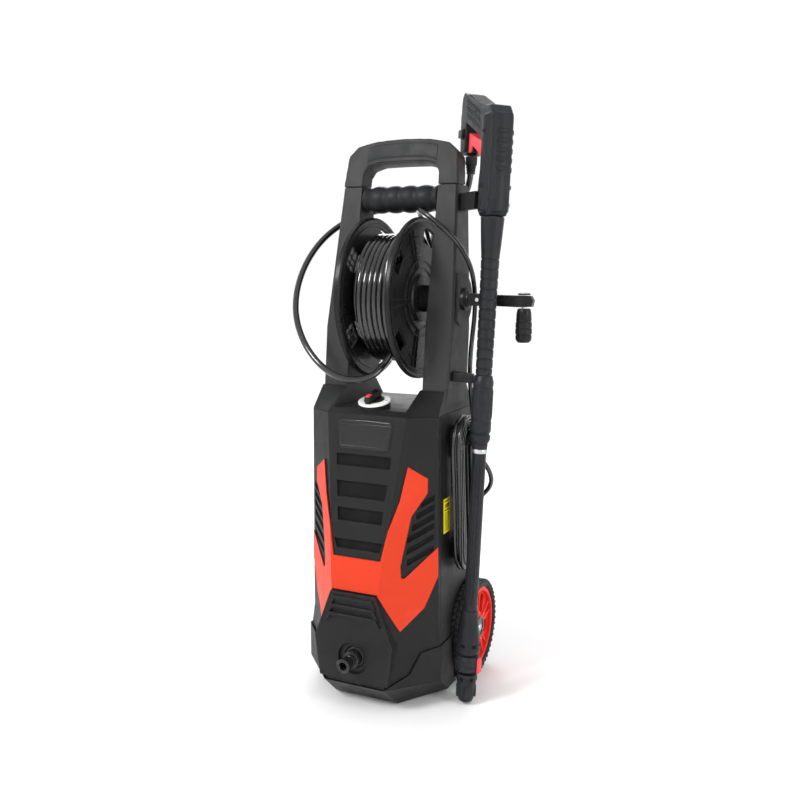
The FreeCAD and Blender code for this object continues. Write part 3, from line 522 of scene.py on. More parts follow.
def mm_points(route):
    return [Vector(p) * MM for p in route]


coil_line = spline_points("coil_line", winding())
hose_winding = tube("hose_winding", coil_line, HOSE_D / 2 * MM)
dress(hose_winding, "reel", "hose_black", ["hose_coil"])

hose_line = spline_points("hose_line", mm_points(HOSE_ROUTE))
hose_run = tube("hose_run", hose_line, HOSE_D / 2 * MM)
dress(hose_run, "root", "hose_black", ["hose_lead"])

cord_line = spline_points("cord_line", mm_points(GLAND_ROUTE) + hank_route()
                          + mm_points(LEAD_ROUTE))
power_cord = tube("power_cord", cord_line, LEAD_D / 2 * MM, 14)
dress(power_cord, "root", "lead_black", ["gland_lead", "power_hank", "power_lead"])


# ---------------------------------------------------------------- cord ends

plug_place = at(12, 131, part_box("power_plug")[0].z / MM)


def squared(value, power):
    """A sine or cosine pushed outwards, which makes a circle nearer to a square."""
    return math.copysign(abs(value) ** power, value)


def plug_form():
    """A moulded plug's body hanging from its lead: waisted grip and face; its ribbed relief and two
    pins are separate pieces.
    """
    bm = bmesh.new()
    levels = [(77, 4.2, 4.2), (72, 5.0, 5.0), (56, 6.0, 6.0), (52, 9.5, 8.0), (46, 13, 10),
              (40, 12, 9.5), (34, 14.5, 11.5), (24, 16, 13), (20, 16, 13), (18.5, 15, 12)]
    sides, rings = 28, []
    turn = [2 * math.pi * i / sides for i in range(sides)]
    for z, half_x, half_y in levels:
        rings.append([bm.verts.new(Vector((half_x * squared(math.cos(a), 0.75),
                                           half_y * squared(math.sin(a), 0.75), z)) * MM)
                      for a in turn])
    for low, high in zip(rings, rings[1:]):
        for i in range(sides):
            j = (i + 1) % sides
            bm.faces.new([low[i], low[j], high[j], high[i]])
    bm.faces.new(rings[0])
    bm.faces.new(rings[-1])
    return linked("plug_body", bm, plug_place)


plug_body = rounded(plug_form(), 0.8)
dress(plug_body, "root", "lead_black", ["power_plug"])
bm = bmesh.new()
for x in (-9.5, 9.5):
    add_plate(bm, [(x - 2, -2), (x + 2, -2), (x + 2, 2), (x - 2, 2)], 0.5, 19)
plug_pins = rounded(linked("plug_pins", bm, plug_place), 0.9)
dress(plug_pins, "root", "steel")
bm = bmesh.new()
for i in range(4):
    z = 58 + 4 * i
    add_plate(bm, [(5.9 * math.cos(a), 5.9 * math.sin(a))
                   for a in (2 * math.pi * k / 20 for k in range(20))], z, z + 1.8)
plug_ribs = rounded(linked("plug_relief_ribs", bm, plug_place), 0.5)
dress(plug_ribs, "root", "lead_black")

gland_at = at(109.6, 48, 285) @ Matrix.Rotation(math.radians(45), 4, "Y")
gland = turned("cord_relief", [(4.0, -10), (12, -10), (12.3, 1.2), (12.3, 3), (11.4, 4.2), (8.2, 5),
                               (7.8, 7), (7.0, 7.6), (7.4, 8.4), (7.4, 10), (6.6, 10.6),
                               (7.0, 11.4), (7.0, 13), (6.2, 13.6), (6.6, 14.4), (6.5, 16),
                               (5.7, 16.6), (6.0, 17.4), (5.9, 19), (5.2, 19.6), (5.5, 20.4),
                               (5.3, 26), (4.0, 26)], gland_at, 40, closed=True)
dress(gland, "root", "lead_black", ["cord_gland"])

# ---------------------------------------------------------------- lance and gun frames

LANCE_FOOT = Vector((146, -63, 0)) * MM
LANCE_TOP = Vector((170, -27, 826)) * MM
GUN_HEADING = math.radians(129.3)
lance_turn = Vector((0, 0, 1)).rotation_difference((LANCE_TOP - LANCE_FOOT).normalized())
LANCE = Matrix.Translation(LANCE_FOOT) @ lance_turn.to_matrix().to_4x4()
GUN = LANCE @ Matrix.Rotation(GUN_HEADING, 4, "Z")


def up(w):
    return Matrix.Translation((0, 0, w * MM))


def grooved(stations, start, stop, pitch, wide, deep):
    """A profile through (radius, height) stations with turned grooves between two heights."""
    def radius_at(z):
        for (r0, z0), (r1, z1) in zip(stations, stations[1:]):
            if z0 <= z <= z1:
                return r0 + (r1 - r0) * (z - z0) / max(z1 - z0, 1e-6)
        return stations[-1][0]

    made = [(r, z) for r, z in stations if z < start]
    z = start
    while z < stop:
        r = radius_at(z)
        made += [(r, z), (r - deep, z + 0.35 * wide), (r - deep, z + 0.65 * wide), (r, z + wide),
                 (r + 0.15, z + (wide + pitch) / 2)]
        z += pitch
    return made + [(r, z) for r, z in stations if z > stop]


GRIP = [(0, 514), (11.4, 514), (12.2, 516), (12.4, 520), (13.2, 660), (13.6, 684), (15, 706),
        (17.0, 738), (17.5, 744.6), (16.5, 745.5), (0, 745.6)]
lance_grip = turned("lance_grip_ribbed", grooved(GRIP, 522, 688, 14.6, 3.4, 0.9), LANCE)
dress(lance_grip, "root", "gun_black", ["lance_grip"])

COUPLER = [(0, 412), (12.4, 412), (13, 413), (15, 417.5), (15.2, 420), (15, 423.5), (13.5, 425),
           (13.5, 427), (15.1, 429), (15.5, 431), (15.5, 444), (14.9, 445), (14.9, 447),
           (15.5, 448), (15.5, 494), (14.9, 495), (14.9, 497), (15.5, 498), (15.5, 504.5),
           (15.0, 506), (13.4, 512.5), (12.6, 513.6), (0, 513.6)]
coupler = turned("lance_coupler_body", COUPLER, LANCE)
dress(coupler, "root", "gun_black", ["lance_coupler"])
bm = bmesh.new()
for i in range(12):
    turn = Matrix.Rotation(2 * math.pi * i / 12, 4, "Z")
    add_block(bm, turn @ Vector((15.3, 0, 471)), (1.6, 2.6, 40), turn)
coupler_ribs = rounded(linked("coupler_flutes", bm, LANCE), 0.6)
dress(coupler_ribs, "root", "gun_black")

TUBE = [(0, 150.4), (10.2, 150.4), (10.5, 151), (10.5, 394), (11.0, 397), (11.9, 409), (11.9, 411),
        (11.4, 411.6), (0, 411.6)]
lance_tube = turned("lance_tube_body", TUBE, LANCE)
dress(lance_tube, "root", "gun_black", ["lance_tube"])

FRONT_TURN = math.radians(-70)   # the side of the lance that faces forward and right
bm = bmesh.new()
for low, high, half in ((160, 380, 3.6),):
    outline = [(-half, low), (half, low), (half + 0.9, low + 4), (half + 0.9, high - 4),
               (half, high), (-half, high), (-half - 0.9, high - 4), (-half - 0.9, low + 4)]
    inner = [(x * 0.62, low + 3 + (z - low) * (high - low - 6) / (high - low)) for x, z in outline]
    outer_ring = [bm.verts.new((x * MM, z * MM, 10.35 * MM)) for x, z in outline]
    crest_ring = [bm.verts.new((x * 0.9 * MM, z * MM, 11.1 * MM)) for x, z in outline]
    inner_ring = [bm.verts.new((x * MM, z * MM, 11.1 * MM)) for x, z in inner]
    floor_ring = [bm.verts.new((x * 0.95 * MM, z * MM, 10.0 * MM)) for x, z in inner]
    for a, b in ((outer_ring, crest_ring), (crest_ring, inner_ring), (inner_ring, floor_ring)):
        for i in range(8):
            j = (i + 1) % 8
            bm.faces.new([a[i], a[j], b[j], b[i]])
    bm.faces.new(floor_ring)
stand_up = Matrix(((1, 0, 0, 0), (0, 0, -1, 0), (0, 1, 0, 0), (0, 0, 0, 1)))
rail = linked("lance_tube_rail", bm, LANCE @ Matrix.Rotation(FRONT_TURN + math.pi / 2, 4, "Z")
              @ stand_up)
dress(rounded(rail, 0.3), "root", "gun_black")

ring_piece = turned("lance_steel_ring", [(10.4, 396), (11.6, 396.4), (12.3, 398), (12.3, 401),
                                         (11.8, 402.5), (10.4, 402.5)], LANCE, closed=True)
dress(ring_piece, "root", "steel")

HEAD = [(0, 50), (8.9, 50), (8.9, 80.4), (14.6, 80.6), (15.6, 81.6), (18, 86), (18.3, 88),
        (18, 91.5), (17.4, 94), (17.4, 100), (16.4, 104), (14, 126), (11.9, 148), (11.2, 150),
        (0, 150)]
dress(turned("nozzle_head", HEAD, LANCE), "root", "gun_black", ["nozzle_body"])
COLLAR = [(9.05, 52), (17.6, 55.4), (18.6, 56.6), (19, 60), (19, 62), (18.3, 62.8), (18.3, 64.2),
          (19, 65), (19, 73), (18.6, 74.4), (17.2, 79.2), (16.4, 79.6), (9.05, 79.6)]
dress(turned("nozzle_sleeve_body", COLLAR, LANCE, closed=True), "nozzle_sleeve", "gun_black",
      ["nozzle_collar"])
bm = bmesh.new()
for i in range(16):
    turn = Matrix.Rotation(2 * math.pi * i / 16, 4, "Z")
    add_block(bm, turn @ Vector((18.9, 0, 69)), (1.5, 2.4, 8), turn)
dress(rounded(linked("nozzle_sleeve_grip", bm, LANCE), 0.5), "nozzle_sleeve", "gun_black")
# Near-black patches on the nozzle stand for its windows: painted shade, not openings.
bm = bmesh.new()
for i in range(6):
    turn = Matrix.Rotation(2 * math.pi * i / 6 + 0.35, 4, "Z")
    add_block(bm, turn @ Vector((17.3, 0, 97)), (1.6, 6.5, 5.5), turn)
    add_block(bm, turn @ Vector((15.1, 0, 43)), (1.8, 5.5, 6.5), turn)
dress(rounded(linked("nozzle_window_shade", bm, LANCE), 0.5), "root", "plate_black",
      material=MATERIALS["vent_painted_shade"])
bm = bmesh.new()
tab_turn = Matrix.Rotation(math.radians(-8), 4, "Z")
add_plate(bm, [(-4.6, -11), (4.6, -11), (5, 6), (2.8, 11.5), (-2.8, 11.5), (-5, 6)], 18.0,
          22.5, tab_turn @ up(66) @ Matrix.Rotation(math.pi / 2, 4, "Y")
          @ Matrix.Rotation(math.pi / 2, 4, "Z"))
dress(rounded(linked("nozzle_red_tab", bm, LANCE), 0.9), "nozzle_sleeve", "trigger_red")
TIP = [(0, 9), (5.4, 9), (6.4, 5.4), (9.6, 5), (10.8, 6), (12.2, 10), (14.2, 32), (14.6, 33),
       (14.6, 35), (15.0, 36), (15.5, 44), (15.5, 49), (14.8, 49.6), (0, 49.6)]
dress(turned("nozzle_cone", TIP, LANCE), "root", "gun_black", ["nozzle_tip"])
bm = bmesh.new()
for i in range(4):
    turn = Matrix.Rotation(math.pi / 2 * i + 0.5, 4, "Z")
    add_plate(bm, [(-4, -12), (4, -12), (3.2, 7), (-3.2, 7)], 9.0, 15.2, turn @ up(24)
              @ Matrix.Rotation(math.pi / 2, 4, "Y") @ Matrix.Rotation(math.pi / 2, 4, "Z"))
dress(rounded(linked("nozzle_cone_fins", bm, LANCE), 0.6), "root", "gun_black")

# ---------------------------------------------------------------- gun details

gun_shell = melted("gun_shell", ["gun_shell_left", "gun_shell_right"], 1.0, 22)
opened(gun_shell, (103.5, 7.2, 871.5), (122.5, 27, 884.5), GUN)
copied("trigger", 1.2)
copied("safety_lock", 1.0)
bm = bmesh.new()
arc = [math.radians(158 + 100 * k / 16) for k in range(17)]
for i in range(5):
    w = 812 + 13.2 * i
    low, *crest, high, back = [
        [bm.verts.new((r * math.cos(a) * MM, r * math.sin(a) * MM, (w + dz) * MM)) for a in arc]
        for r, dz in ((21.6, -4.6), (23.6, -2.6), (23.6, 0.4), (23.6, 3.2), (21.6, 5.0), (20.5, 0))]
    strips = [low, *crest, high, back]
    for a, b in zip(strips, strips[1:] + strips[:1]):
        for k in range(16):
            bm.faces.new([a[k], a[k + 1], b[k + 1], b[k]])
    for k in (0, 16):
        bm.faces.new([s[k] for s in strips])
dress(rounded(linked("gun_grip_ribs", bm, GUN), 0.8), "root", "grip_black")


def gun_bar_points(u):
    """Height of the handle's lower and upper faces along the gun."""
    return 862 + (u - 28) * 31 / 72, 905 + (u - 30) * 36 / 86


bm = bmesh.new()
for i in range(13):
    u = 36 + 5.4 * i
    low, high = gun_bar_points(u)
    slope = math.atan2(36, 86)
    turn = Matrix.Rotation(-slope, 4, "Y")
    add_block(bm, (u, 0, high + 0.2), (2.6, 27, 2.2), turn)
for side in (1, -1):
    for row in range(3):
        for i in range(12):
            u = 37 + 5.4 * i
            low, high = gun_bar_points(u)
            add_block(bm, (u, side * 15.9, low + 12 + row * 10 + (i % 2) * 1.5), (3.6, 2.0, 6.0),
                      Matrix.Rotation(0.5, 4, "Y"))
dress(rounded(linked("gun_handle_knurls", bm, GUN), 0.6), "root", "grip_black")


def screw(name, place, radius, body="root", slot="steel"):
    """A pan-head screw with a round drive recess, its axis along the place's Z."""
    r = radius
    profile = [(0, -0.35 * r), (0.34 * r, -0.35 * r), (0.40 * r, 0.22 * r), (0.62 * r, 0.2 * r),
               (0.88 * r, 0.08 * r), (r, -0.12 * r), (r, -0.6 * r), (0, -0.6 * r)]
    return dress(turned(name, profile, place, 24), body, slot)


def boss_screw(name, place, radius, body="root"):
    """A moulded ring round a sunk screw."""
    r = radius
    ring = [(0.62 * r, -0.8 * r), (0.62 * r, 0.12 * r), (0.7 * r, 0.22 * r), (0.92 * r, 0.22 * r),
            (r, 0.12 * r), (r, -0.8 * r)]
    dress(turned(name + "_rim", ring, place, 32, closed=True), body, "gun_black")
    screw(name, place @ Matrix.Translation((0, 0, -0.45 * r * MM)), 0.6 * r, body)


SIDEWAYS = Matrix.Rotation(-math.pi / 2, 4, "X")   # local Z towards the gun's left face
for i, (u, w, face) in enumerate(((-3, 866, 22.6), (-4, 788, 22.4), (-2, 763, 22.4),
                                  (60, 903, 16.1), (112, 872, 16.1))):
    for side in (1, -1):
        turn = SIDEWAYS if side > 0 else SIDEWAYS.inverted()
        place = GUN @ Matrix.Translation(Vector((u, side * face, w)) * MM) @ turn
        boss_screw(f"gun_screw_{i}_{'left' if side > 0 else 'right'}", place, 3.4)
for i, (turn, w, r) in enumerate(((-40, 731, 16.6), (-40, 609, 12.9), (-40, 517, 12.1),
                                  (-40, 436, 15.4))):
    place = LANCE @ Matrix.Rotation(math.radians(turn), 4, "Z") @ up(w) @ Matrix.Translation(
        (r * MM, 0, 0)) @ Matrix.Rotation(math.pi / 2, 4, "Y")
    boss_screw(f"lance_screw_{i}", place, 2.6)

gun_tail = turned("hose_bend_guard", [(5.05, 818), (6.6, 818), (6.9, 820), (6.4, 822), (7.4, 824),
                                      (6.9, 826), (8.0, 828), (7.6, 830), (8.8, 832), (9.2, 834),
                                      (9.2, 843.8), (8.4, 844.6), (5.05, 844.6)],
                  GUN @ Matrix.Translation((0.113, 0, 0)), 40, closed=True)
dress(gun_tail, "root", "grip_black", ["gun_inlet"])

# ---------------------------------------------------------------- casing, deck and frame


def panel_depth(x, z):
    """How far forward the casing's skin is at a place on its front, between two levels."""
    levels = ((96, 50, -155, 113, -88), (130, 50, -153.5, 109, -86), (188, 38, -151, 109, -86),
              (452, 66, -111, 107, -85))
    for (z0, *low), (z1, *high) in zip(levels, levels[1:]):
        if z0 <= z <= z1:
            share = (z - z0) / (z1 - z0)
            flat, front, wide, back = (a + (b - a) * share for a, b in zip(low, high))
            out = max(0.0, min(1.0, (abs(x) - flat) / (wide - flat)))
            return front + (back - front) * out
    return None


def in_a_vent(middle, normal):
    """Whether a face of the front cover is the floor of a recess."""
    skin = panel_depth(middle.x, middle.z)
    return normal.y < -0.2 and skin is not None and 2.4 < middle.y - skin < 5.5


# The floors of the front cover's recesses get the near-black colour: painted shade for the shadow
# inside the slots.
copied("front_cover", 1.0, sunk=in_a_vent)
for node_name, width in (("rear_shell", 2.2), ("base_tray", 1.8), ("top_deck", 1.6),
                         ("red_trim", 1.5), ("nameplate", 0.9), ("outlet_plate", 1.4)):
    copied(node_name, width)
copied("upright_left", 4.0, segments=4)
copied("upright_right", 4.0, segments=4)
melted("top_handle_form", ["top_handle"], 1.6, 6)
# The arch's top bar is a darker, glossier moulding laid over the charcoal one.
BAR_AT = at(0, 6, 797) @ Matrix.Rotation(math.radians(-12), 4, "X")
BAR_TOP = [(0, 75), (45, 73), (64, 69.2)]
BAR_UNDER = [(0, 39), (40, 38), (57, 33), (64, 24)]
BAR_MIDDLE, BAR_REACH = 16.5, 17.3


def height_at(x, stations):
    """The height at x along straight lines between (x, height) stations."""
    for (x0, z0), (x1, z1) in zip(stations, stations[1:]):
        if x0 <= abs(x) <= x1:
            return z0 + (z1 - z0) * (abs(x) - x0) / (x1 - x0)
    return stations[-1][1]


bm = bmesh.new()
rings = []
for k in range(33):
    x = -60 + 3.75 * k
    high, low = height_at(x, BAR_TOP) + 0.7, height_at(x, BAR_UNDER) - 0.7
    ring = []
    for i in range(32):
        a = 2 * math.pi * i / 32
        y = squared(math.cos(a), 0.5) * BAR_REACH
        z = squared(math.sin(a), 0.5) * (high - low) / 2
        ring.append(bm.verts.new(Vector((x, BAR_MIDDLE + y, (high + low) / 2 + z)) * MM))
    rings.append(ring)
for near, far in zip(rings, rings[1:]):
    for i in range(32):
        n = (i + 1) % 32
        bm.faces.new((near[i], near[n], far[n], far[i]))
bm.faces.new(rings[0])
bm.faces.new(rings[-1])
dress(rounded(linked("top_handle_bar", bm, BAR_AT), 0.6), "root", "grip_black")
for node_name, width in (("lance_holders", 1.6), ("cord_hooks", 1.6), ("rubber_feet", 1.0),
                         ("dial_ring", 0.5), ("switch_knob", 0.9), ("reel_bearings", 0.8),
                         ("crank_arm", 1.4), ("crank_hub", 1.0), ("crank_pins", 0.5),
                         ("warning_label", 0.2), ("wheel_left", 1.4), ("wheel_right", 1.4),
                         ("flange_left", 1.2), ("flange_right", 1.2), ("drum_core", 1.0),
                         ("grip_core", 1.5)):
    copied(node_name, width)

# ---------------------------------------------------------------- handle grip

ALONG_X = Matrix.Rotation(math.pi / 2, 4, "Y")
GRIP_AT = (0, 22, 777)
sleeve = [(13.05, -63.5), (19.6, -63.5), (20.6, -62), (20.4, -60), (18, -54)]
for finger in range(4):
    start = -52 + 26 * finger
    for i in range(1, 13):
        s = i / 13
        sleeve.append((18.0 + 3.6 * math.sin(math.pi * s) ** 0.6, start + 26 * s))
sleeve += [(18, 54), (20.4, 60), (20.6, 62), (19.6, 63.5), (13.05, 63.5)]
grip = turned("handle_grip_sleeve", sleeve, at(*GRIP_AT) @ ALONG_X, 64, closed=True)
dress(grip, "root", "grip_black", ["grip_sleeve"])
bm = bmesh.new()
for finger in range(4):
    for i in range(20):
        turn = Matrix.Rotation(2 * math.pi * i / 20, 4, "Z")
        add_block(bm, turn @ Vector((19.9, 0, -39 + 26 * finger)), (0.9, 1.6, 12), turn)
dress(rounded(linked("handle_grip_ribs", bm, at(*GRIP_AT) @ ALONG_X), 0.4), "root", "grip_black")

# ---------------------------------------------------------------- reel and crank

REEL_AT = at(REEL.x, REEL.y, REEL.z) @ ALONG_X


def ridge(radius, x, wide=1.6, tall=1.5):
    """Profile of a raised ring on a flange's face at a distance x along the axle."""
    side = 1 if tall > 0 else -1
    return [(radius - wide, x - side * 0.4), (radius - wide * 0.7, x + tall),
            (radius + wide * 0.7, x + tall), (radius + wide, x - side * 0.4)]


for name, side in (("right", 1), ("left", -1)):
    place = REEL_AT if side > 0 else REEL_AT @ Matrix.Rotation(math.pi, 4, "X")
    for i, (radius, x, tall) in enumerate(((60, 42, 1.4), (112, 42, 1.2), (48, 42, 1.6))):
        obj = turned(f"flange_{name}_ring_{i}", ridge(radius, x, 1.5, tall), place, 96, closed=True)
        dress(obj, "reel", "reel_black")
    for i, radius in enumerate((112, 118)):
        obj = turned(f"flange_{name}_inner_ring_{i}", ridge(radius, 38, 1.2, -1.0), place, 96,
                     closed=True)
        dress(obj, "reel", "reel_black")
    bm = bmesh.new()
    for i in range(5):
        turn = Matrix.Rotation(math.radians(72 * i + 36 + 20), 4, "Z")
        for spread in (-3.2, 3.2):
            rib = turn @ Matrix.Rotation(math.radians(spread), 4, "Z")
            add_block(bm, rib @ Vector((79, 0, 42.5)), (60, 1.8, 2.6), rib)
        for k in range(-6, 7):
            rib = turn @ Matrix.Rotation(math.radians(2.0 * k), 4, "Z")
            add_block(bm, rib @ Vector((96, 0, 42.4)), (1.6, 3.4, 2.4), rib)
    dress(rounded(linked(f"flange_{name}_ribs", bm, place), 0.5), "reel", "reel_black")

KNOB = [(4.05, 0), (8.6, 0), (9.4, 0.8), (11.6, 3.4), (12.2, 7), (12.2, 10), (11.5, 11), (11.5, 12),
        (12.5, 13), (12.5, 20), (11.8, 21), (11.8, 22), (12.3, 23), (12.1, 30), (11.3, 31),
        (11.3, 32), (11.7, 33), (11.0, 44), (10.6, 46.5), (9.6, 49.6), (8.6, 50.5), (4.05, 50.5)]
knob = turned("crank_knob_grip", KNOB, at(209, -2, 560.5), 48, closed=True)
dress(knob, "crank_grip", "reel_black", ["crank_knob"])
bm = bmesh.new()
for side in (1, -1):
    outline = [(148, -5), (196, -6.6), (196, 3.6), (148, 4.6)]
    inner = [(150, -3.2), (194, -4.6), (194, 1.8), (150, 2.8)]
    y = -2 - side * 5.55
    rings = [[bm.verts.new(Vector((x, y - side * out, 623 + z)) * MM) for x, z in ring]
             for ring, out in ((outline, -0.3), (outline, 0.9), (inner, 0.9), (inner, -0.2))]
    for a, b in zip(rings, rings[1:]):
        for k in range(4):
            bm.faces.new([a[k], a[(k + 1) % 4], b[(k + 1) % 4], b[k]])
dress(rounded(linked("crank_arm_rims", bm), 0.3), "crank", "reel_black")
place = at(209, -2, 631.2)
dress(turned("crank_knob_cap", [(0, 0), (9.4, 0), (9.4, 1.2), (8.4, 2.4), (5, 3.2), (0, 3.4)],
             place, 40), "crank", "reel_black")

# ---------------------------------------------------------------- wheels

AXLE = (0, 45, 80)
for name, side in (("right", 1), ("left", -1)):
    place = at(*AXLE) @ ALONG_X
    if side < 0:
        place = place @ Matrix.Rotation(math.pi, 4, "X")
    body = f"wheel_{name}_body"
    tyre = [(67, 106), (67.6, 104.6), (68.6, 104), (72, 103.6), (75, 104), (77.2, 105.8), (78, 109),
            (78.2, 112), (77.4, 112.6), (77.4, 114), (78.2, 114.6), (78.4, 117), (78.2, 119.4),
            (77.4, 120), (77.4, 121.4), (78.2, 122), (78, 125), (77.2, 128.2), (75, 130),
            (72, 130.4), (71, 130.2), (70.6, 129.6), (69.8, 129.6), (69.4, 130.2), (68.4, 130),
            (67.6, 129.4), (67, 128)]
    dress(turned(f"tyre_{name}_carcass", tyre, place, 96, closed=True), body, "tyre_black",
          [f"tyre_{name}"])
    bm = bmesh.new()
    for i in range(48):
        for row, (z, skew, offset) in enumerate(((108.6, 0.25, 0.0), (117, 0.0, 0.5),
                                                 (125.4, -0.25, 0.0))):
            turn = Matrix.Rotation(2 * math.pi * (i + offset) / 48, 4, "Z")
            add_block(bm, turn @ Vector((78.5, 0, z)), (2.6, 6.0, 5.6),
                      turn @ Matrix.Rotation(skew, 4, "X"))
        turn = Matrix.Rotation(2 * math.pi * i / 48, 4, "Z")
        for z in (130.1, 103.9):
            add_block(bm, turn @ Vector((74.6, 0, z)), (4.4, 3.4, 1.6), turn)
    dress(rounded(linked(f"tyre_{name}_tread", bm, place), 0.6, segments=2), body, "tyre_black")
    cap = [(0, 127.2), (4, 127.2), (4.4, 127.8), (13.4, 127.8), (14.4, 128.8), (17.6, 128.8),
           (18.2, 128.2), (18.2, 126), (0, 126)]
    cap = [(r, z + 1.2) for r, z in cap]
    dress(turned(f"wheel_{name}_cap", cap, place, 48), body, "plate_black")
    rim_rings = [(60.5, 126.6), (61, 128), (63.6, 128), (64.2, 126.6)]
    dress(turned(f"wheel_{name}_rim_ring", rim_rings, place, 96, closed=True), body, "wheel_red")
    bm = bmesh.new()
    for i in range(5):
        turn = Matrix.Rotation(math.radians(72 * i + (36 if side > 0 else 0)), 4, "Z")
        for spread in (-9, 9):
            rib = turn @ Matrix.Rotation(math.radians(spread), 4, "Z")
            add_block(bm, rib @ Vector((40, 0, 123.6)), (38, 2.6, 4.4), rib)
        add_block(bm, turn @ Vector((30, 0, 123.2)), (14, 6, 3.4), turn)
    dress(rounded(linked(f"wheel_{name}_spoke_ribs", bm, place), 0.7), body, "wheel_red")
    dress(turned(f"axle_nut_{name}", [(0, 127.2), (5.6, 127.2), (5.9, 127.8), (5.9, 129.4),
                                      (4.6, 130.8), (0, 131.4)], place, 32), "root", "steel")

# ---------------------------------------------------------------- labels, plate and switch

low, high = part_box("warning_label")
face_x = high.x
bm = bmesh.new()
yl, zl, wide, tall = low.y, low.z, high.y - low.y, high.z - low.z


def mark(y0, z0, y1, z1):
    """A printed bar on the label, in shares of its width and height."""
    corners = [(y0, z0), (y1, z0), (y1, z1), (y0, z1)]
    front = [bm.verts.new((face_x + 0.00025, yl + wide * y, zl + tall * z)) for y, z in corners]
    back = [bm.verts.new((face_x - 0.0001, yl + wide * y, zl + tall * z)) for y, z in corners]
    bm.faces.new(front)
    bm.faces.new(list(reversed(back)))
    for k in range(4):
        bm.faces.new([front[k], back[k], back[(k + 1) % 4], front[(k + 1) % 4]])


dice = random.Random(7)
for row in range(9):
    z = 0.08 + row * 0.062
    y = 0.12
    while y < 0.8:
        long = dice.uniform(0.06, 0.2)
        mark(y, z, min(0.88, y + long), z + 0.022)
        y += long + 0.05
for band_low, band_high in ((0.66, 0.69), (0.92, 0.95)):
    mark(0.08, band_low, 0.92, band_high)
for k in range(3):
    mark(0.2 + k * 0.22, 0.74, 0.34 + k * 0.22, 0.86)
dress(linked("warning_label_marks", bm), "root", "plate_black")

bm = bmesh.new()
PLATE_EDGE = [(-39, 404), (39, 404), (44, 438), (-44, 438)]
LEAN_UP = (111 - 151) / (452 - 188)      # how far the panel's face falls back per mm of height


def on_panel(x, z, out):
    """A point on the front panel's leaning face, moved out from it."""
    y = -151 - (z - 188) * LEAN_UP
    return Vector((x, y - out, z)) * MM


rings = []
for inset, out in ((0, 1.2), (0, 2.2), (1.4, 2.2), (1.4, 1.3)):
    rings.append([bm.verts.new(on_panel(x - math.copysign(inset, x),
                                        z + (inset if z < 420 else -inset), out))
                  for x, z in PLATE_EDGE])
for a, b in zip(rings, rings[1:]):
    for k in range(4):
        bm.faces.new([a[k], a[(k + 1) % 4], b[(k + 1) % 4], b[k]])
dress(rounded(linked("nameplate_rim", bm), 0.3), "root", "plate_black")

DIAL = at(0, -81, 459) @ Matrix.Rotation(math.radians(12), 4, "X")
bm = bmesh.new()
add_plate(bm, [(-3, -22.4), (3, -22.4), (3.4, -12), (-3.4, -12)], 24.2, 26.4)
dress(rounded(linked("switch_pointer", bm, DIAL), 0.6), "switch", "trigger_red")
bm = bmesh.new()
for i in range(5):
    for side in (1, -1):
        add_block(bm, (side * 4.6, -14 + 5 * i, 19.5), (1.2, 2.0, 7))
dress(rounded(linked("switch_bar_ribs", bm, DIAL), 0.4), "switch", "casing_black")
bm = bmesh.new()
for degrees in (0, 90):
    turn = Matrix.Rotation(math.radians(degrees), 4, "Z")
    add_block(bm, turn @ Vector((20.8, 0, 13.2)), (3.4, 1.6, 0.5), turn)
dress(rounded(linked("dial_marks", bm, DIAL), 0.1), "root", "plate_black")

# ---------------------------------------------------------------- small fittings

collar_at = facing((0, -132, 85), (0, -1, 0))
INLET = [(6, 0), (16, 0), (16, 21.2), (15.2, 22), (13.2, 22.6), (13, 24), (13, 35), (12.2, 36),
         (9.7, 36.6), (9.5, 38), (9.5, 41), (8.8, 41.6), (8.8, 43), (9.5, 43.6), (9.5, 50),
         (10.6, 51.6), (11, 52.4), (11, 59), (10.2, 60), (6.4, 60), (6, 59.4)]
inlet = turned("water_inlet_spigot", INLET, collar_at, 64, closed=True)
dress(inlet, "root", "plate_black", ["water_inlet"])
bm = bmesh.new()
for i in range(18):
    turn = Matrix.Rotation(2 * math.pi * i / 18, 4, "Z")
    add_block(bm, turn @ Vector((13.1, 0, 29.5)), (1.6, 2.0, 9), turn)
dress(rounded(linked("water_inlet_knurl", bm, collar_at), 0.4), "root", "plate_black")
dress(turned("inlet_recess_ring", [(17.2, 20), (17.2, 22.6), (18.0, 23.2), (23.4, 23.2),
                                   (24.4, 22.6), (24.6, 20)], collar_at, 64, closed=True),
      "root", "casing_black")

back = [v.co for v in NODES["casing_screws"].data.vertices]
groups = {}
for co in back:
    groups.setdefault((co.x > 0, round(co.z / 0.05)), []).append(co)
for i, members in enumerate(sorted(groups.values(), key=lambda m: (m[0].z, m[0].x))):
    centre = sum(members, Vector()) / len(members)
    out = max(m.y for m in members)
    profile = [(0, -1.5), (1.2, -1.5), (1.4, 0.2), (2.6, 0.1), (3.6, -0.4), (4, -1.0), (4, -3.0),
               (0, -3.0)]
    place = facing((centre.x / MM, out / MM, centre.z / MM), (0, 1, 0))
    obj = turned(f"casing_screw_{i}", profile, place, 28)
    dress(obj, "root", "steel", ["casing_screws"] if i == 0 else ())

# ---------------------------------------------------------------- the CAD nodes that still show

for node_name, obj in NODES.items():
    if not obj.hide_render:
        obj.data.materials.clear()
        obj.data.materials.append(MATERIALS[SLOT_OF[node_name]])

# ---------------------------------------------------------------- studio


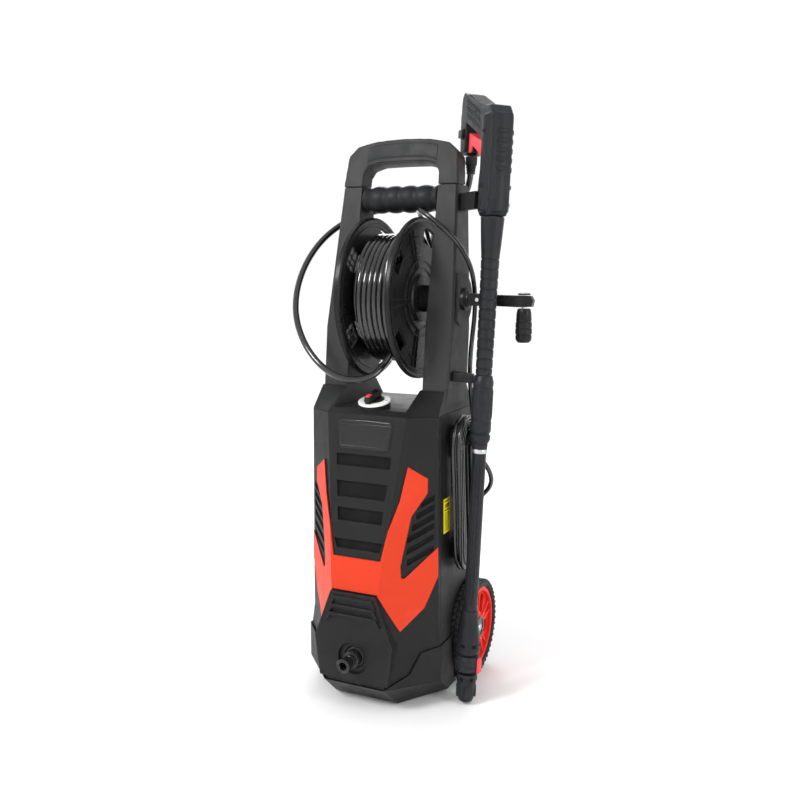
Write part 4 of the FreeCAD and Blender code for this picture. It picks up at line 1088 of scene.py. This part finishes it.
def lamp(name, place, target, size, power):
    """A soft rectangular lamp at a place, turned towards a target."""
    data = bpy.data.lights.new(name, "AREA")
    data.shape = "RECTANGLE"
    data.size, data.size_y = size
    data.energy = power
    obj = bpy.data.objects.new(name, data)
    bpy.context.scene.collection.objects.link(obj)
    obj.location = place
    obj.rotation_euler = (Vector(target) - Vector(place)).to_track_quat("-Z", "Y").to_euler()


# A bowl (radius, height) in metres: flat under the object and curving up into a backdrop.
SWEEP = [(0.0, 0.0), (2.2, 0.0), (2.6, 0.03), (3.0, 0.14), (3.4, 0.38), (3.7, 0.75), (3.85, 1.2),
         (3.9, 1.8), (3.9, 3.6)]
SWEEP_SIDES = 48
bm = bmesh.new()
rings = []
for radius, height in SWEEP:
    turns = [2 * math.pi * k / SWEEP_SIDES for k in range(SWEEP_SIDES)] if radius else [0.0]
    rings.append([bm.verts.new((radius * math.cos(a), radius * math.sin(a), height))
                  for a in turns])
for low, high in zip(rings, rings[1:]):
    for k in range(SWEEP_SIDES):
        n = (k + 1) % SWEEP_SIDES
        bm.faces.new(list(dict.fromkeys([low[k % len(low)], low[n % len(low)], high[n], high[k]])))
floor = linked("floor", bm, sharp=math.radians(80))
paper = Graph("pale_floor")
paper.feed(paper.shader.inputs["Base Color"], paper.mixed(paper.noise(3.0, 4.0),
                                                          (0.86, 0.86, 0.86, 1),
                                                          (0.90, 0.90, 0.90, 1)))
paper.shader.inputs["Roughness"].default_value = 0.85
floor.data.materials.append(paper.mat)

world = bpy.data.worlds.new("studio")
world.use_nodes = True
world.node_tree.nodes["Background"].inputs["Color"].default_value = (1.0, 1.0, 1.0, 1)
world.node_tree.nodes["Background"].inputs["Strength"].default_value = 0.9
bpy.context.scene.world = world
bpy.context.scene.view_settings.view_transform = "Standard"

MIDDLE = (0.0, 0.0, 0.45)
lamp("key", (-1.2, -2.2, 2.3), MIDDLE, (0.7, 0.7), 60)
lamp("side", (2.5, -0.6, 1.2), MIDDLE, (0.5, 2.0), 20)
lamp("rim", (-0.8, 2.2, 2.1), MIDDLE, (1.4, 0.8), 30)
